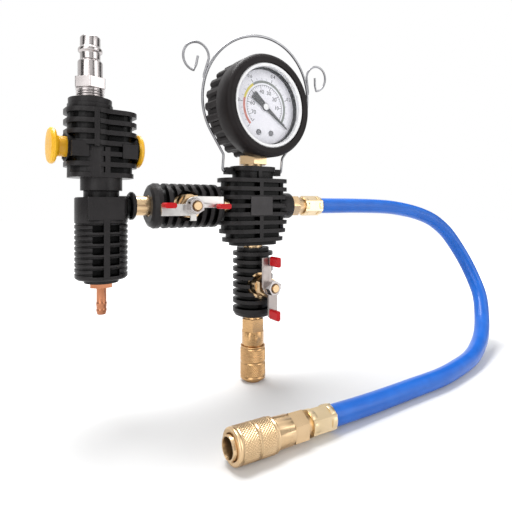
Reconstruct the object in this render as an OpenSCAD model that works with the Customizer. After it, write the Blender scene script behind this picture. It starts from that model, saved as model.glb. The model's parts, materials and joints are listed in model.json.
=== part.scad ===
// Coolant vacuum filler: a compressed-air venturi unit, two ball valves, a gauge manifold with a
// wire hanger, and a refill hose between quick couplers. Millimetres, +Z up, front towards -Y.
// The origin is the centre of the lower coupler's mouth.

/* [Manifold block] */
// Width of the ribbed block along the pipe
block_w = 47; // [42:1:52]
// Depth of the ribbed block
block_d = 22; // [21:0.5:28]
// Radius of the block's vertical corners
block_corner = 10; // [6:0.5:10.5]
// Height of the ribbed block without its neck
block_h = 41.5; // [38:0.5:50]
// Height of the pipe axis above the block's lower face
port_rise = 24.5; // [20:0.5:28]
// Depth of the grooves between the block's ribs
block_groove = 2.2; // [1:0.1:3]
// Thickness of one block rib
block_rib = 2.5; // [1.5:0.1:3]
// Number of ribs on the block
block_ribs = 8; // [5:1:9]
// Width of the neck that carries the gauge
neck_w = 30; // [26:1:34]
// Height of the neck that carries the gauge
neck_h = 7.5; // [6:0.5:10]
// Outside diameter of the hose port boss
boss_d = 16.8; // [15:0.2:18]
// Length of the hose port boss beyond the block
boss_len = 3.3; // [2:0.1:12]

/* [Ball valves] */
// Length of a valve sleeve
sleeve_len = 43; // [42:0.5:55]
// Outside diameter of the sleeve ribs
sleeve_d = 25.5; // [24:0.5:28]
// Outside diameter of the sleeve between its ribs
sleeve_core_d = 20.5; // [18.5:0.5:21.5]
// Number of ribs after the end flange of a sleeve
sleeve_ribs = 7; // [4:1:7]
// Gap between a sleeve and the block
valve_gap = 1.5; // [0.5:0.1:3]
// Distance of the valve stem from the sleeve's outer end
stem_pos = 20; // [18.5:0.5:22]
// Turn of the refill valve about its own axis
refill_turn = 4; // [-10:1:10]
// Outside diameter of the brass valve body
valve_d = 16; // [15.4:0.1:17]
// Diameter of the valve ball
ball_d = 12; // [11:0.1:12.4]
// Diameter of the flow passage
flow_d = 7.2; // [5:0.1:7.6]
// Diameter of the valve stem
stem_d = 6; // [5:0.1:6.4]
// Diameter of the spigots that screw into the block
spigot_d = 12; // [11:0.1:12.6]
// Engaged length of every screwed joint
thread_len = 8; // [6:0.5:9]
// Diameter of the screwed connection at the outer ends
tail_d = 9.8; // [9:0.1:10]

/* [Valve levers] */
// Distance of the lever plate in front of the pipe axis
lever_d = 17.2; // [16.8:0.1:20]
// Thickness of the lever plate
lever_t = 1.5; // [1:0.1:2.5]
// Half length of the lever
lever_reach = 18; // [15:0.5:22]
// Width of each lever arm
arm_w = 6.3; // [5:0.1:7]
// Length of the flap bent forward at each arm end
flap_len = 9; // [6:0.5:14]
// Width of each flap
flap_w = 4.6; // [3.5:0.1:7]
// Wall of the vinyl grip around a flap
grip_wall = 0.7; // [0.5:0.1:1.2]

/* [Couplers] */
// Length of a coupler from mouth to shoulder
coupler_len = 40.7; // [38:0.1:46]
// Outside diameter of the knurled sleeve
collar_d = 16; // [15.6:0.1:18]
// Length of the knurled sleeve
collar_len = 21; // [18:0.5:23]
// Outside diameter of the coupler's inner tube
tube_d = 10.4; // [10:0.1:11]
// Diameter of the coupler's guide bore
socket_d = 8.4; // [7.8:0.1:8.6]
// Diameter of the wider mouth of the guide bore
mouth_d = 9; // [8.7:0.1:9.4]
// Depth of the wider mouth
mouth_depth = 4.2; // [3:0.1:4.4]
// Length of the inner tube beyond the sleeve
tube_proud = 1.5; // [1:0.1:2]
// Diameter of the plain body behind the sleeve
coupler_body_d = 13.8; // [13.4:0.1:14.4]
// Width across the flats of the coupler's hex
coupler_hex = 13; // [12:0.1:16]
// Length of the coupler's hex
coupler_hex_len = 8; // [6:0.5:10]
// Travel of the sleeve against its spring
collar_travel = 3; // [2:0.1:3.5]
// Diameter of a lock ball
lock_ball_d = 2.4; // [2:0.1:2.4]
// Number of lock balls
lock_balls = 6; // [4:1:6]
// Wire diameter of the coupler spring
spring_wire = 0.8; // [0.6:0.05:0.9]
// Number of turns of the coupler spring
spring_turns = 5; // [4:1:6]

/* [Gauge] */
// Gap between the block's neck and the underside of the boot
gauge_stand = 5; // [4:0.5:8]
// Turn of the gauge about its stem
gauge_turn = 5; // [-10:1:10]
// Thickness of the rubber boot around the case
boot_wall = 4; // [3:0.1:6]
// Outside diameter of the gauge case
case_d = 54; // [52:0.5:56]
// Wall of the gauge case behind its stem
case_back_wall = 0.95; // [0.7:0.05:4]
// Distance of the dial in front of the stem axis
dial_front = 12; // [11:0.5:14]
// Step from the case's rim in to the bezel ring
bezel_step = 1.5; // [1:0.1:2.5]
// Height of the bezel ring in front of the case
bezel_h = 2.7; // [2:0.1:3.5]
// Width of the bezel ring
bezel_w = 2.2; // [1.5:0.1:3]
// Number of grip ribs round the boot
boot_ribs = 24; // [20:1:36]
// Gap between the pointer's tip and the bezel ring
pointer_gap = 2.8; // [2:0.1:6]
// Angle of the pointer at zero, counter-clockwise from the right
pointer_zero = -36; // [-45:1:-20]
// Sweep of the pointer over the whole scale
pointer_sweep = 257; // [200:1:260]
// Width across the flats of the gauge stem
gauge_hex = 16.5; // [15:0.5:18]
// Height of the gauge stem's hex
gauge_hex_h = 5.2; // [4:0.1:6]
// Number of teeth on the pointer's pinion
pinion_teeth = 10; // [10:1:12]
// Teeth of the full circle that the sector is part of
sector_teeth = 60; // [54:1:66]

/* [Hanger] */
// Diameter of the hanger wire
wire_d = 1.6; // [1.4:0.1:2]
// Distance of the hanger loop's wire from the boot
loop_clear = 6.8; // [4:0.1:12]
// Distance that the loop's circle dips below the top of the legs
loop_dip = 2.6; // [1:0.1:4]
// Distance of each hanger leg from the middle
leg_x = 21.5; // [20.5:0.1:23]
// Height of the straight part of each leg
leg_h = 9.6; // [6:0.1:12]
// Forward lean of the hanger at rest
hanger_lean = 9; // [0:1:20]
// Radius of the scroll hooks to the wire's centre
hook_r = 7.8; // [6:0.1:9]
// Height of the straight part of each scroll hook
hook_h = 9; // [6:0.5:12]

/* [Venturi unit] */
// Outside diameter of the lower body
ejector_d = 26.6; // [26:0.1:30]
// Height of the lower body
ejector_h = 42.4; // [41:0.1:50]
// Distance of the side port's face from the lower body's axis
port_reach = 17; // [16:0.5:22]
// Visible length of the brass nipple between the port and the valve
nipple_gap = 7.5; // [4:0.5:10]
// Height of the head block
head_h = 37.2; // [34:0.1:42]
// Width of the head block along the spool
head_w = 35.8; // [34:0.1:42]
// Depth of the head block
head_d = 22; // [20:0.5:26]
// Turn of the head block about the neck
head_turn = 5; // [-20:1:20]
// Offset of the air inlet from the neck's axis
inlet_shift = 5.7; // [3:0.1:6.5]
// Height of the neck ring on the lower body
neck_ring_h = 3.5; // [3:0.1:5]
// Height of the neck nut
neck_nut_h = 6.5; // [5:0.1:8]
// Outside diameter of the neck nut
neck_nut_d = 21; // [20:0.1:23]
// Diameter of the spool shaft
spool_d = 10.3; // [9.5:0.1:11]
// Diameter of the spool knobs
knob_d = 18; // [16:0.5:20]
// Thickness of a spool knob's rim
knob_t = 3; // [2.5:0.1:4]
// Travel of the spool between off and on
spool_travel = 4.5; // [3:0.5:6]
// Height of the spool's axis above the head block's lower face
spool_rise = 15.4; // [13:0.1:17]
// Length of the exhaust barb below its hex
barb_len = 14.3; // [10:0.1:20]
// Outside diameter of the exhaust barb
barb_d = 5.1; // [4.6:0.1:7]

/* [Air plug] */
// Diameter of the plug's nose
nose_d = 10; // [9.6:0.1:10.4]
// Diameter of the plug's locking ridge
ridge_d = 12; // [11.6:0.1:12.4]
// Diameter of the plug's pipe thread
plug_thread_d = 13.16; // [12.5:0.02:14]
// Width across the flats of the plug's hex
plug_hex = 14.5; // [14:0.5:17]
// Length of the plug's hex
plug_hex_h = 5.5; // [4:0.1:8]
// Length of bare thread between the head and the plug's hex
plug_stand = 5.5; // [3:0.1:8]
// Length of the plug's shank above its hex
shank_len = 8.5; // [6:0.1:12]
// Distance from the shank to the locking ridge
waist_len = 5.4; // [4:0.1:7]
// Length of the locking ridge
ridge_len = 1.4; // [1:0.1:2]
// Length of the nose above the ridge
nose_len = 6.7; // [5:0.1:9]
// Diameter of the plug's air passage
plug_bore = 6.4; // [5:0.1:7]

/* [Hose] */
// Outside diameter of the hose
hose_d = 10.6; // [9.5:0.1:12]
// Outside diameter of the crimped ferrules
ferrule_d = 12.5; // [12:0.1:14]
// Length of the crimped ferrules
ferrule_len = 14.5; // [12:0.5:20]
// Width across the flats of the hose fitting's hex
fitting_hex = 12.7; // [12:0.1:15]
// Length of the hose fitting's hex
fitting_hex_len = 6.5; // [5:0.5:9]
// Length of the plain neck between a hex and its ferrule
fitting_neck = 5; // [3:0.5:8]
// Length of the neck between the end coupler's hex and its ferrule
coupler_neck = 2; // [1:0.5:6]

/* [Clearances] */
// Radial clearance of a screwed or pushed joint
fit = 0.05; // [0.03:0.01:0.08]
// Radial clearance of a piece that turns or slides
run = 0.06; // [0.03:0.01:0.09]
// Gap between pieces that pass each other
gap = 0.3; // [0.3:0.05:0.5]

/* [Hidden] */
$fn = 64;
cut = 0.1;

// Stack of heights and lengths, from the lower coupler's mouth
seat_gap = 0.8;
refill_z = coupler_len + seat_gap;
block_z = refill_z + sleeve_len + valve_gap;
pipe_z = block_z + port_rise;
neck_z = block_z + block_h;
ear_z = neck_z + 0.6 * neck_h;
boot_d = case_d + 2 * boot_wall;
gauge_rise = boot_d / 2 + gauge_stand;
gauge_z = neck_z + neck_h + gauge_rise;
hex_stand = 1.5;
suction_x = -(block_w / 2 + valve_gap + sleeve_len);
unit_x = suction_x - nipple_gap - port_reach;
fitting_x = block_w / 2 + boss_len;
ferrule_x = fitting_x + fitting_hex_len + fitting_neck;
hose_x = ferrule_x + ferrule_len;

// Valve insides
chamber_r = ball_d / 2 + gap;
chamber_half = ball_d / 2 + 2.5;
slot_floor = flow_d / 2 + 0.7;
tang_w = 0.44 * stem_d;
end_wall = 4;
stem_boss_r = stem_d / 2 + 3.5;
stem_boss_top = valve_d / 2 + 4;
packing_r = stem_d / 2 + 1.7;
packing_base = stem_boss_top - 3.5;
packing_h = 1.5;
gland_top = lever_d - 1.6;
stem_flat = 0.73 * stem_d;
nut_h = 4.8;
nut_sink = 0.9;
stud_d = stem_d * 0.72;
stud_out = 0.8;
arm_past = 1;

// Venturi unit heights
ejector_top = pipe_z + 4.5;
ejector_z = ejector_top - ejector_h;
head_z = ejector_top + neck_ring_h + neck_nut_h;
spool_z = head_z + spool_rise;

// Coupler insides
skirt_z = 8;
seat_z = 14;
coupler_neck_r = 5.5;
ball_z = 6.2;
shoulder_z = tube_proud + collar_len - 2;
body_end = coupler_len - 1.2 - coupler_hex_len;

// Gauge insides, as distances in front of the stem axis
case_front = dial_front + 4;
case_depth = case_front + spigot_d / 2 + fit + case_back_wall;
dial_r = case_d / 2 - 1.6;
dial_t = 0.6;
lens_t = 2;
lens_front = case_front + bezel_h - 1.1;
pointer_front = dial_front + 1.4;
pointer_t = 0.5;
arbor_r = 0.9;
plate_back = 3.6;
plate_span = 5;
plate_t = 1;
movement_w = 9;
gear_module = 0.3;
gear_front = plate_back + plate_t + 0.7;
gear_t = 1.4;
gear_reach = gear_module * (pinion_teeth + sector_teeth) / 2;
bezel_d = case_d - 2 * bezel_step;
lens_seat = 1.4;
pointer_len = bezel_d / 2 - bezel_w - pointer_gap;
bourdon_r = case_d / 2 - 9;
bourdon_tube_r = 1.6;

// Bend of the hanger wire where it enters the neck
wire_bend = 1.3;
loop_r = boot_d / 2 + loop_clear;

// Head block, measured along the spool from the neck's axis
tower_r = 12.5;
tower_h = head_h;
main_h = head_h - 2.5;
collar_h = 3;
head_left = -inlet_shift - tower_r;
head_right = head_left + head_w;
head_top = head_z + head_h + collar_h;
ejector_bore = 4.5;
ejector_spigot = 7.5;
cap_spigot = 6.2;
cap_h = 2;
cap_depth = 6;
plug_depth = 9;
barb_hex = 10.8;
barb_hex_h = 2.7;

// Spool: its flare under the fixed knob, and the places of its seal rings along it
flare = 1.6;
spool_start = knob_t + spool_travel + gap;
ring_spots = [spool_start + 5, spool_start + 0.45 * head_w, spool_start + head_w - spool_travel - 2.5];

// Hose route: points chosen along the hose, from the block's ferrule to the coupler's ferrule
hose_end = [0.5, -73.05, 6.7];
hose_pts = [
    [hose_x, 0, pipe_z], [hose_x + 12, 0, pipe_z], [84, 0, pipe_z], [103, -0.5, 110.2],
    [122, -1, 109.4], [140, -1.5, 107.2], [157, -3, 103.5], [171, -5, 98], [184, -7, 89],
    [193, -10, 77.5], [199, -15.5, 63], [200.5, -22.5, 48], [197, -29.5, 36], [186.5, -37.5, 22.5],
    [172.5, -45.5, 14], [156.5, -52.5, 9], [137, -59.5, 6.5], [116, -64.5, 5.8], [92.5, -68.5, 5.6],
    [65, -70, 5.6], [42, -71.1, 5.6], [26, -72, 5.9], [14, -72.6, 6.3], hose_end
];
hose_steps = 2;

// Coupler at the end of the hose, which lies on its sleeve
hose_end_turn = 2;
hose_end_tilt = 2;
hose_tail = coupler_len + coupler_neck + ferrule_len;
hose_mouth = hose_end - hose_tail * [cos(hose_end_tilt) * cos(hose_end_turn),
    cos(hose_end_tilt) * sin(hose_end_turn), -sin(hose_end_tilt)];

// Shared shapes
module ring(ro, ri, h) {
    difference() {
        cylinder(r = ro, h = h);
        translate([0, 0, -cut]) cylinder(r = ri, h = h + 2 * cut);
    }
}

module hex(flats, h) {
    cylinder(r = flats / 2 / cos(30), h = h, $fn = 6);
}

module plate2d(w, d, r) {
    square([w - 2 * r, d], center = true);
    square([w, d - 2 * r], center = true);
    for (x = [-1, 1], y = [-1, 1]) translate([x * (w / 2 - r), y * (d / 2 - r)]) circle(r = r);
}

module plate(w, d, r, h) {
    linear_extrude(h) plate2d(w, d, r);
}

// Turns children that stand along +Z so that they stand towards the front, d in front of the axis
module front(d = 0) {
    translate([0, -d, 0]) rotate([90, 0, 0]) children();
}

module at_refill() {
    translate([0, 0, refill_z]) rotate([0, 0, refill_turn]) children();
}

module at_suction() {
    translate([suction_x, 0, pipe_z]) rotate([0, 90, 0]) children();
}

module at_gauge() {
    translate([0, 0, gauge_z]) rotate([0, 0, gauge_turn]) children();
}

module at_head() {
    translate([unit_x, 0, head_z]) rotate([0, 0, head_turn]) children();
}

// Points along +X of a piece that stands along +Z
module along_x(x, z = pipe_z) {
    translate([x, 0, z]) rotate([0, 90, 0]) children();
}

// Stands along +Z from the mouth of the hose's coupler
module at_hose_end() {
    translate(hose_mouth) rotate([0, 90 + hose_end_tilt, hose_end_turn]) children();
}

// Tube swept along a list of points, with rings that keep square to the path
function unit(v) = v / norm(v);
function tangent(p, i) = unit(p[min(i + 1, len(p) - 1)] - p[max(i - 1, 0)]);
function between(p, i, t) = let (
        a = p[max(i - 1, 0)],
        b = p[i],
        c = p[i + 1],
        d = p[min(i + 2, len(p) - 1)]
    ) b + t / 2 * (c - a + t * (2 * a - 5 * b + 4 * c - d + t * (3 * b - a - 3 * c + d)));
function smooth(p, steps) = concat(
    [for (i = [0:len(p) - 2], k = [0:steps - 1]) between(p, i, k / steps)], [p[len(p) - 1]]);

module sweep(path, r, sides, ref) {
    n = len(path);
    points = [for (i = [0:n - 1]) let (t = tangent(path, i), a = unit(cross(ref, t)), b = cross(t, a))
        for (k = [0:sides - 1]) path[i] + r * (cos(360 * k / sides) * a + sin(360 * k / sides) * b)];
    walls = [for (i = [0:n - 2], k = [0:sides - 1]) let (j = (k + 1) % sides)
        each [[i * sides + k, (i + 1) * sides + k, (i + 1) * sides + j],
              [i * sides + k, (i + 1) * sides + j, i * sides + j]]];
    first = [for (k = [1:sides - 2]) [0, k, k + 1]];
    last = [for (k = [1:sides - 2]) [(n - 1) * sides, (n - 1) * sides + k + 1, (n - 1) * sides + k]];
    polyhedron(points, concat(walls, first, last), convexity = 10);
}

// Ball valve, drawn along +Z from its outer end, with its stem towards the front
module valve_sleeve() {
    hole_r = spigot_d / 2 + 0.1;
    core_r = sleeve_core_d / 2;
    rib_r = sleeve_d / 2;
    flange = 6;
    pitch = (sleeve_len - flange - 2.6) / sleeve_ribs;
    inner_r = valve_d / 2 + fit;
    ribs = [for (i = [1:sleeve_ribs]) let (z = flange - 1.1 + i * pitch)
        each [[core_r, z - 1.5], [rib_r, z - 1.1], [rib_r, z + 1.1], [core_r, z + 1.5]]];
    color([0.09, 0.09, 0.1]) difference() {
        rotate_extrude() polygon(concat(
            [[hole_r, 0], [rib_r - 3, 0], [rib_r - 1.2, 0.9], [rib_r, 3], [rib_r, flange - 0.6],
             [core_r, flange]],
            ribs,
            [[core_r, sleeve_len], [hole_r, sleeve_len], [hole_r, sleeve_len - end_wall],
             [inner_r, sleeve_len - end_wall], [inner_r, end_wall], [hole_r, end_wall]]));
        translate([0, 0, stem_pos]) front(valve_d / 4) cylinder(r = stem_boss_r + 2, h = sleeve_d);
    }
}

module valve_body() {
    color([0.78, 0.6, 0.3]) difference() {
        union() {
            translate([0, 0, end_wall]) cylinder(d = valve_d, h = sleeve_len - 2 * end_wall);
            valve_spigot();
            translate([0, 0, stem_pos]) front() cylinder(r = stem_boss_r, h = stem_boss_top);
        }
        translate([0, 0, end_wall - cut])
            cylinder(r = chamber_r, h = stem_pos + chamber_half - end_wall + cut);
        cylinder(d = flow_d, h = 2 * sleeve_len);
        translate([0, 0, stem_pos]) {
            front() cylinder(d = stem_d + 2 * run, h = stem_boss_top + cut);
            front() cylinder(r = stem_d / 2 + 0.9, h = ball_d / 2 + 1.5);
            front(packing_base) cylinder(r = packing_r + fit, h = stem_boss_top);
        }
    }
}

module valve_spigot() {
    z = sleeve_len - end_wall;
    translate([0, 0, z - cut]) cylinder(d = spigot_d, h = end_wall + valve_gap + thread_len + cut);
}

// Screwed-in end piece that holds the seats against the ball
module valve_end() {
    inner = stem_pos - chamber_half;
    color([0.82, 0.64, 0.34]) difference() {
        union() {
            translate([0, 0, 0.5]) cylinder(d = spigot_d - 0.1, h = end_wall);
            translate([0, 0, end_wall]) cylinder(r = chamber_r - fit, h = inner - end_wall);
        }
        translate([0, 0, -cut]) cylinder(d = tail_d + 2 * fit, h = thread_len + cut);
        cylinder(d = flow_d, h = sleeve_len);
    }
}

module valve_seats() {
    color("white") translate([0, 0, stem_pos]) for (side = [0, 180]) rotate([side, 0, 0]) difference() {
        translate([0, 0, -chamber_half]) ring(chamber_r - fit, flow_d / 2, 4);
        sphere(r = ball_d / 2 + 0.03);
    }
}

module valve_ball() {
    color("gainsboro") translate([0, 0, stem_pos]) difference() {
        rotate_extrude() intersection() {
            circle(d = ball_d);
            translate([flow_d / 2, -ball_d]) square([ball_d, 2 * ball_d]);
        }
        translate([-tang_w / 2, -ball_d, -ball_d]) cube([tang_w, ball_d - slot_floor, 2 * ball_d]);
    }
}

module valve_stem() {
    tang = tang_w - 0.2;
    collar_base = ball_d / 2 + gap;
    color([0.8, 0.62, 0.32]) translate([0, 0, stem_pos]) {
        difference() {
            union() {
                front(collar_base) cylinder(d = stem_d, h = lever_d + lever_t - collar_base);
                front(collar_base) cylinder(r = stem_d / 2 + 0.7, h = 0.8);
                front(slot_floor + 0.2) linear_extrude(collar_base - slot_floor)
                    square([tang, stem_d], center = true);
                front(lever_d) cylinder(d = stud_d, h = lever_t + nut_h + stud_out);
            }
            for (side = [-1, 1])
                translate([side * (stem_flat / 2 + stem_d / 2), -lever_d - lever_t / 2, 0])
                    cube([stem_d, lever_t + 2 * cut, 2 * stem_d], center = true);
        }
    }
}

module valve_gland() {
    color([0.76, 0.58, 0.28]) translate([0, 0, stem_pos]) difference() {
        union() {
            front(packing_base + packing_h)
                cylinder(r = packing_r, h = gland_top - packing_base - packing_h);
            front(stem_boss_top) rotate([0, 0, 30])
                hex(2 * stem_boss_r - 1.4, gland_top - stem_boss_top);
        }
        front() cylinder(d = stem_d + 2 * run, h = 2 * lever_d);
    }
}

module valve_packing() {
    color("ivory") translate([0, 0, stem_pos]) front(packing_base)
        ring(packing_r, stem_d / 2 + run, packing_h);
}

// Stamped lever: two offset arms on a hub, each with a flap bent forward on its inner edge
module valve_lever() {
    color([0.82, 0.82, 0.84]) translate([0, 0, stem_pos]) difference() {
        union() {
            front(lever_d) cylinder(r = 0.8 * stem_d, h = lever_t);
            for (side = [0, 180]) rotate([0, side, 0]) {
                translate([arm_past - arm_w, -lever_d - lever_t, 0]) cube([arm_w, lever_t, lever_reach]);
                translate([arm_past - lever_t, -lever_d - flap_len, lever_reach - flap_w])
                    cube([lever_t, flap_len, flap_w]);
            }
            translate([0.6 * stem_d, -lever_d - lever_t, -2]) cube([0.75 * stem_d, lever_t, 3.5]);
        }
        intersection() {
            front() cylinder(d = stem_d + 2 * fit, h = 2 * lever_d);
            translate([-stem_flat / 2 - fit, -2 * lever_d, -stem_d])
                cube([stem_flat + 2 * fit, 2 * lever_d, 2 * stem_d]);
        }
    }
}

module valve_grips() {
    grip_t = lever_t + 2 * grip_wall;
    grip_w = flap_w + 2 * grip_wall;
    grip_len = flap_len - lever_t - 1 + grip_wall;
    color([0.82, 0.06, 0.07]) translate([0, 0, stem_pos]) for (side = [0, 180]) rotate([0, side, 0])
        translate([arm_past - lever_t / 2, 0, lever_reach - flap_w / 2]) difference() {
            front(lever_d + lever_t + 1) linear_extrude(grip_len) plate2d(grip_t, grip_w, grip_t * 0.45);
            front(lever_d) linear_extrude(flap_len + fit)
                square([lever_t + 2 * fit, flap_w + 2 * fit], center = true);
        }
}

module valve_lever_nut() {
    color([0.86, 0.84, 0.8]) translate([0, 0, stem_pos]) difference() {
        front(lever_d + lever_t) hex(stem_d * 1.3, nut_h);
        front() cylinder(d = stud_d + 2 * fit, h = 3 * lever_d);
        front(lever_d + lever_t + nut_h - nut_sink)
            cylinder(d1 = stud_d, d2 = stud_d + 4 * nut_sink, h = 2 * nut_sink);
    }
}

// Quick coupler, drawn along +Z from its mouth
module coupler_body(neck_r, neck_end, tail_r, tail_end) {
    color([0.8, 0.62, 0.32]) difference() {
        union() {
            cylinder(d = tube_d, h = coupler_len);
            translate([0, 0, shoulder_z]) cylinder(d = coupler_body_d, h = body_end - shoulder_z);
            translate([0, 0, body_end]) hex(coupler_hex, coupler_hex_len);
            translate([0, 0, body_end]) cylinder(r = neck_r, h = neck_end - body_end);
            translate([0, 0, body_end]) cylinder(r = tail_r, h = tail_end - body_end);
        }
        translate([0, 0, -cut]) cylinder(d = mouth_d, h = mouth_depth + cut);
        translate([0, 0, -cut]) cylinder(d = socket_d, h = seat_z + cut);
        cylinder(d = 0.7 * socket_d, h = 3 * coupler_len);
        for (i = [0:lock_balls - 1]) rotate([0, 0, 360 * i / lock_balls]) translate([0, 0, ball_z])
            rotate([0, 90, 0]) cylinder(d = lock_ball_d + 2 * run, h = tube_d);
    }
}

module coupler_balls() {
    centre_r = tube_d / 2 - 0.8;
    color("silver") for (i = [0:lock_balls - 1]) rotate([0, 0, 360 * i / lock_balls])
        translate([centre_r, 0, ball_z]) sphere(d = lock_ball_d, $fn = 24);
}

module coupler_sleeve() {
    r = collar_d / 2;
    z = tube_proud;
    end = tube_proud + collar_len;
    land_r = tube_d / 2 - 0.8 + lock_ball_d / 2 + 0.1;
    skirt_r = coupler_body_d / 2 + run;
    middle = z + 0.52 * collar_len;
    color([0.78, 0.58, 0.27]) rotate_extrude() polygon([
        [land_r, z], [r - 0.9, z], [r - 0.1, z + 0.7], [r - 0.1, z + 1.7], [r - 0.5, z + 2],
         [r - 0.5, z + 2.5],
        [r, z + 2.9], [r, middle - 0.9], [r - 0.5, middle - 0.5], [r - 0.5, middle + 0.5], [r, middle + 0.9],
        [r, end - 2], [r - 0.5, end - 1.6], [r - 0.5, end - 1.1], [r - 0.2, end - 0.8], [r - 0.2, end],
        [skirt_r, end], [skirt_r, skirt_z + 1], [tube_d / 2 + run, skirt_z + 1], [tube_d / 2 + run, skirt_z],
        [land_r, skirt_z], [land_r, z + 2.8], [land_r + 0.7, z + 2.4], [land_r + 0.7, z + 0.9],
        [land_r, z + 0.8]]);
}

module coupler_spring() {
    low = skirt_z + 1 + spring_wire;
    high = shoulder_z - spring_wire;
    mean_r = (tube_d + coupler_body_d) / 4 + 0.05;
    rings = 10 * spring_turns;
    path = [for (i = [0:rings]) let (a = 360 * i / 10)
        [mean_r * cos(a), mean_r * sin(a), low + (high - low) * i / rings]];
    color("silver") sweep(path, spring_wire / 2, 6, [0, 0, 1]);
}

// Ribbed block that carries the gauge, the valves, the hose and the hanger
module manifold_block() {
    foot = 2.4;
    spine = 2.6;
    pocket_w = 0.3 * block_w;
    pitch = (block_h - block_rib - foot) / (block_ribs - 1);
    flange_h = 0.4 * neck_h;
    ear_end = leg_x - wire_bend - gap;
    ear = wire_d + 2.6;
    spigot_r = spigot_d / 2 + fit;
    core_d = block_d - 2 * block_groove;
    core_corner = block_corner - block_groove;
    low_w = 0.86 * block_w;
    color([0.1, 0.1, 0.11]) difference() {
        union() {
            difference() {
                union() {
                    translate([0, 0, block_z + foot + pitch])
                        plate(block_w - 2 * block_groove, core_d, core_corner, block_h - foot - pitch);
                    translate([0, 0, block_z + foot])
                        plate(low_w - 2 * block_groove, core_d, core_corner, pitch + 1);
                }
                for (x = [-1, 1], y = [-1, 1])
                    translate([x * (spine + pocket_w) / 2, y * block_d / 2, pipe_z])
                        cube([pocket_w, 2 * block_groove + 2.6, 2 * block_h], center = true);
            }
            for (i = [0:block_ribs - 1]) let (w = i == 0 ? low_w : i == 1 ? 0.95 * block_w : block_w)
                translate([0, 0, block_z + foot + i * pitch]) plate(w, block_d, block_corner, block_rib);
            translate([0, 0, block_z]) plate(0.67 * block_w, core_d, core_corner, foot + 0.5);
            translate([-spine / 2, -block_d / 2, block_z + foot]) cube([spine, block_d, block_h - foot]);
            translate([0, 0, pipe_z]) cube([15.5, block_d + 0.6, 11.5], center = true);
            translate([0, 0, neck_z]) plate(neck_w - 3, block_d - 5, 8, neck_h);
            translate([0, 0, neck_z + neck_h - flange_h]) plate(neck_w, block_d - 3, 9, flange_h);
            translate([-spine / 2, -block_d / 2 + 1.5, neck_z]) cube([spine, block_d - 3, neck_h]);
            for (x = [-1, 1]) translate([x * ear_end / 2, 0, ear_z]) cube([ear_end, ear, ear], center = true);
            along_x(0) cylinder(d = boss_d, h = fitting_x);
        }
        translate([0, 0, block_z - cut]) cylinder(d = flow_d, h = 2 * block_h);
        translate([0, 0, block_z - cut]) cylinder(r = spigot_r, h = thread_len + cut);
        translate([0, 0, neck_z + neck_h - thread_len]) cylinder(r = spigot_r, h = thread_len + cut);
        along_x(-block_w) cylinder(d = flow_d, h = 2 * block_w);
        along_x(-block_w) cylinder(r = spigot_r, h = block_w / 2 + thread_len);
        along_x(fitting_x - thread_len) cylinder(d = tail_d + 2 * fit, h = block_w);
        for (x = [-1, 1]) translate([x * (ear_end + cut), 0, ear_z]) rotate([0, -x * 90, 0])
            cylinder(d = wire_d + 2 * run, h = ear_end - neck_w / 2 + 3.2);
    }
}

// Hose, its fittings and ferrules
module hose_fitting() {
    color([0.83, 0.66, 0.36]) along_x(fitting_x) difference() {
        union() {
            translate([0, 0, 0.5 - thread_len]) cylinder(d = tail_d, h = thread_len);
            rotate([0, 0, 30]) hex(fitting_hex, fitting_hex_len);
            cylinder(d = 11, h = fitting_hex_len + fitting_neck);
            cylinder(d = 0.6 * hose_d, h = fitting_hex_len + fitting_neck + ferrule_len - 2);
        }
        translate([0, 0, -thread_len]) cylinder(d = 0.4 * hose_d, h = 4 * thread_len + ferrule_len);
    }
}

module ferrule() {
    band = 3;
    difference() {
        union() {
            cylinder(d = ferrule_d, h = band);
            translate([0, 0, ferrule_len - band]) cylinder(d = ferrule_d, h = band);
            hex(0.93 * ferrule_d, ferrule_len);
        }
        translate([0, 0, -cut]) cylinder(d = 0.6 * hose_d + 2 * fit, h = ferrule_len + 2 * cut);
    }
}

module inlet_ferrule() {
    color([0.85, 0.68, 0.4]) along_x(ferrule_x) ferrule();
}

module outlet_ferrule() {
    color([0.85, 0.68, 0.4]) at_hose_end() translate([0, 0, coupler_len + coupler_neck]) ferrule();
}

module hose() {
    color([0.13, 0.38, 0.85]) sweep(smooth(hose_pts, hose_steps), hose_d / 2, 12, [0, 1, 0]);
}

// Gauge pieces, drawn about the gauge's centre with the dial towards the front
module gauge_adapter() {
    top = neck_z + neck_h;
    stem_top = gauge_z - bourdon_r - bourdon_tube_r - 0.1;
    color([0.84, 0.68, 0.38]) difference() {
        union() {
            translate([0, 0, top - thread_len + 0.5])
                cylinder(d = spigot_d, h = stem_top - top + thread_len - 0.5);
            translate([0, 0, top + hex_stand]) rotate([0, 0, gauge_turn]) hex(gauge_hex, gauge_hex_h);
        }
        translate([0, 0, top - thread_len]) cylinder(d = 4, h = stem_top - top + thread_len - 3);
    }
}

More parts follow.
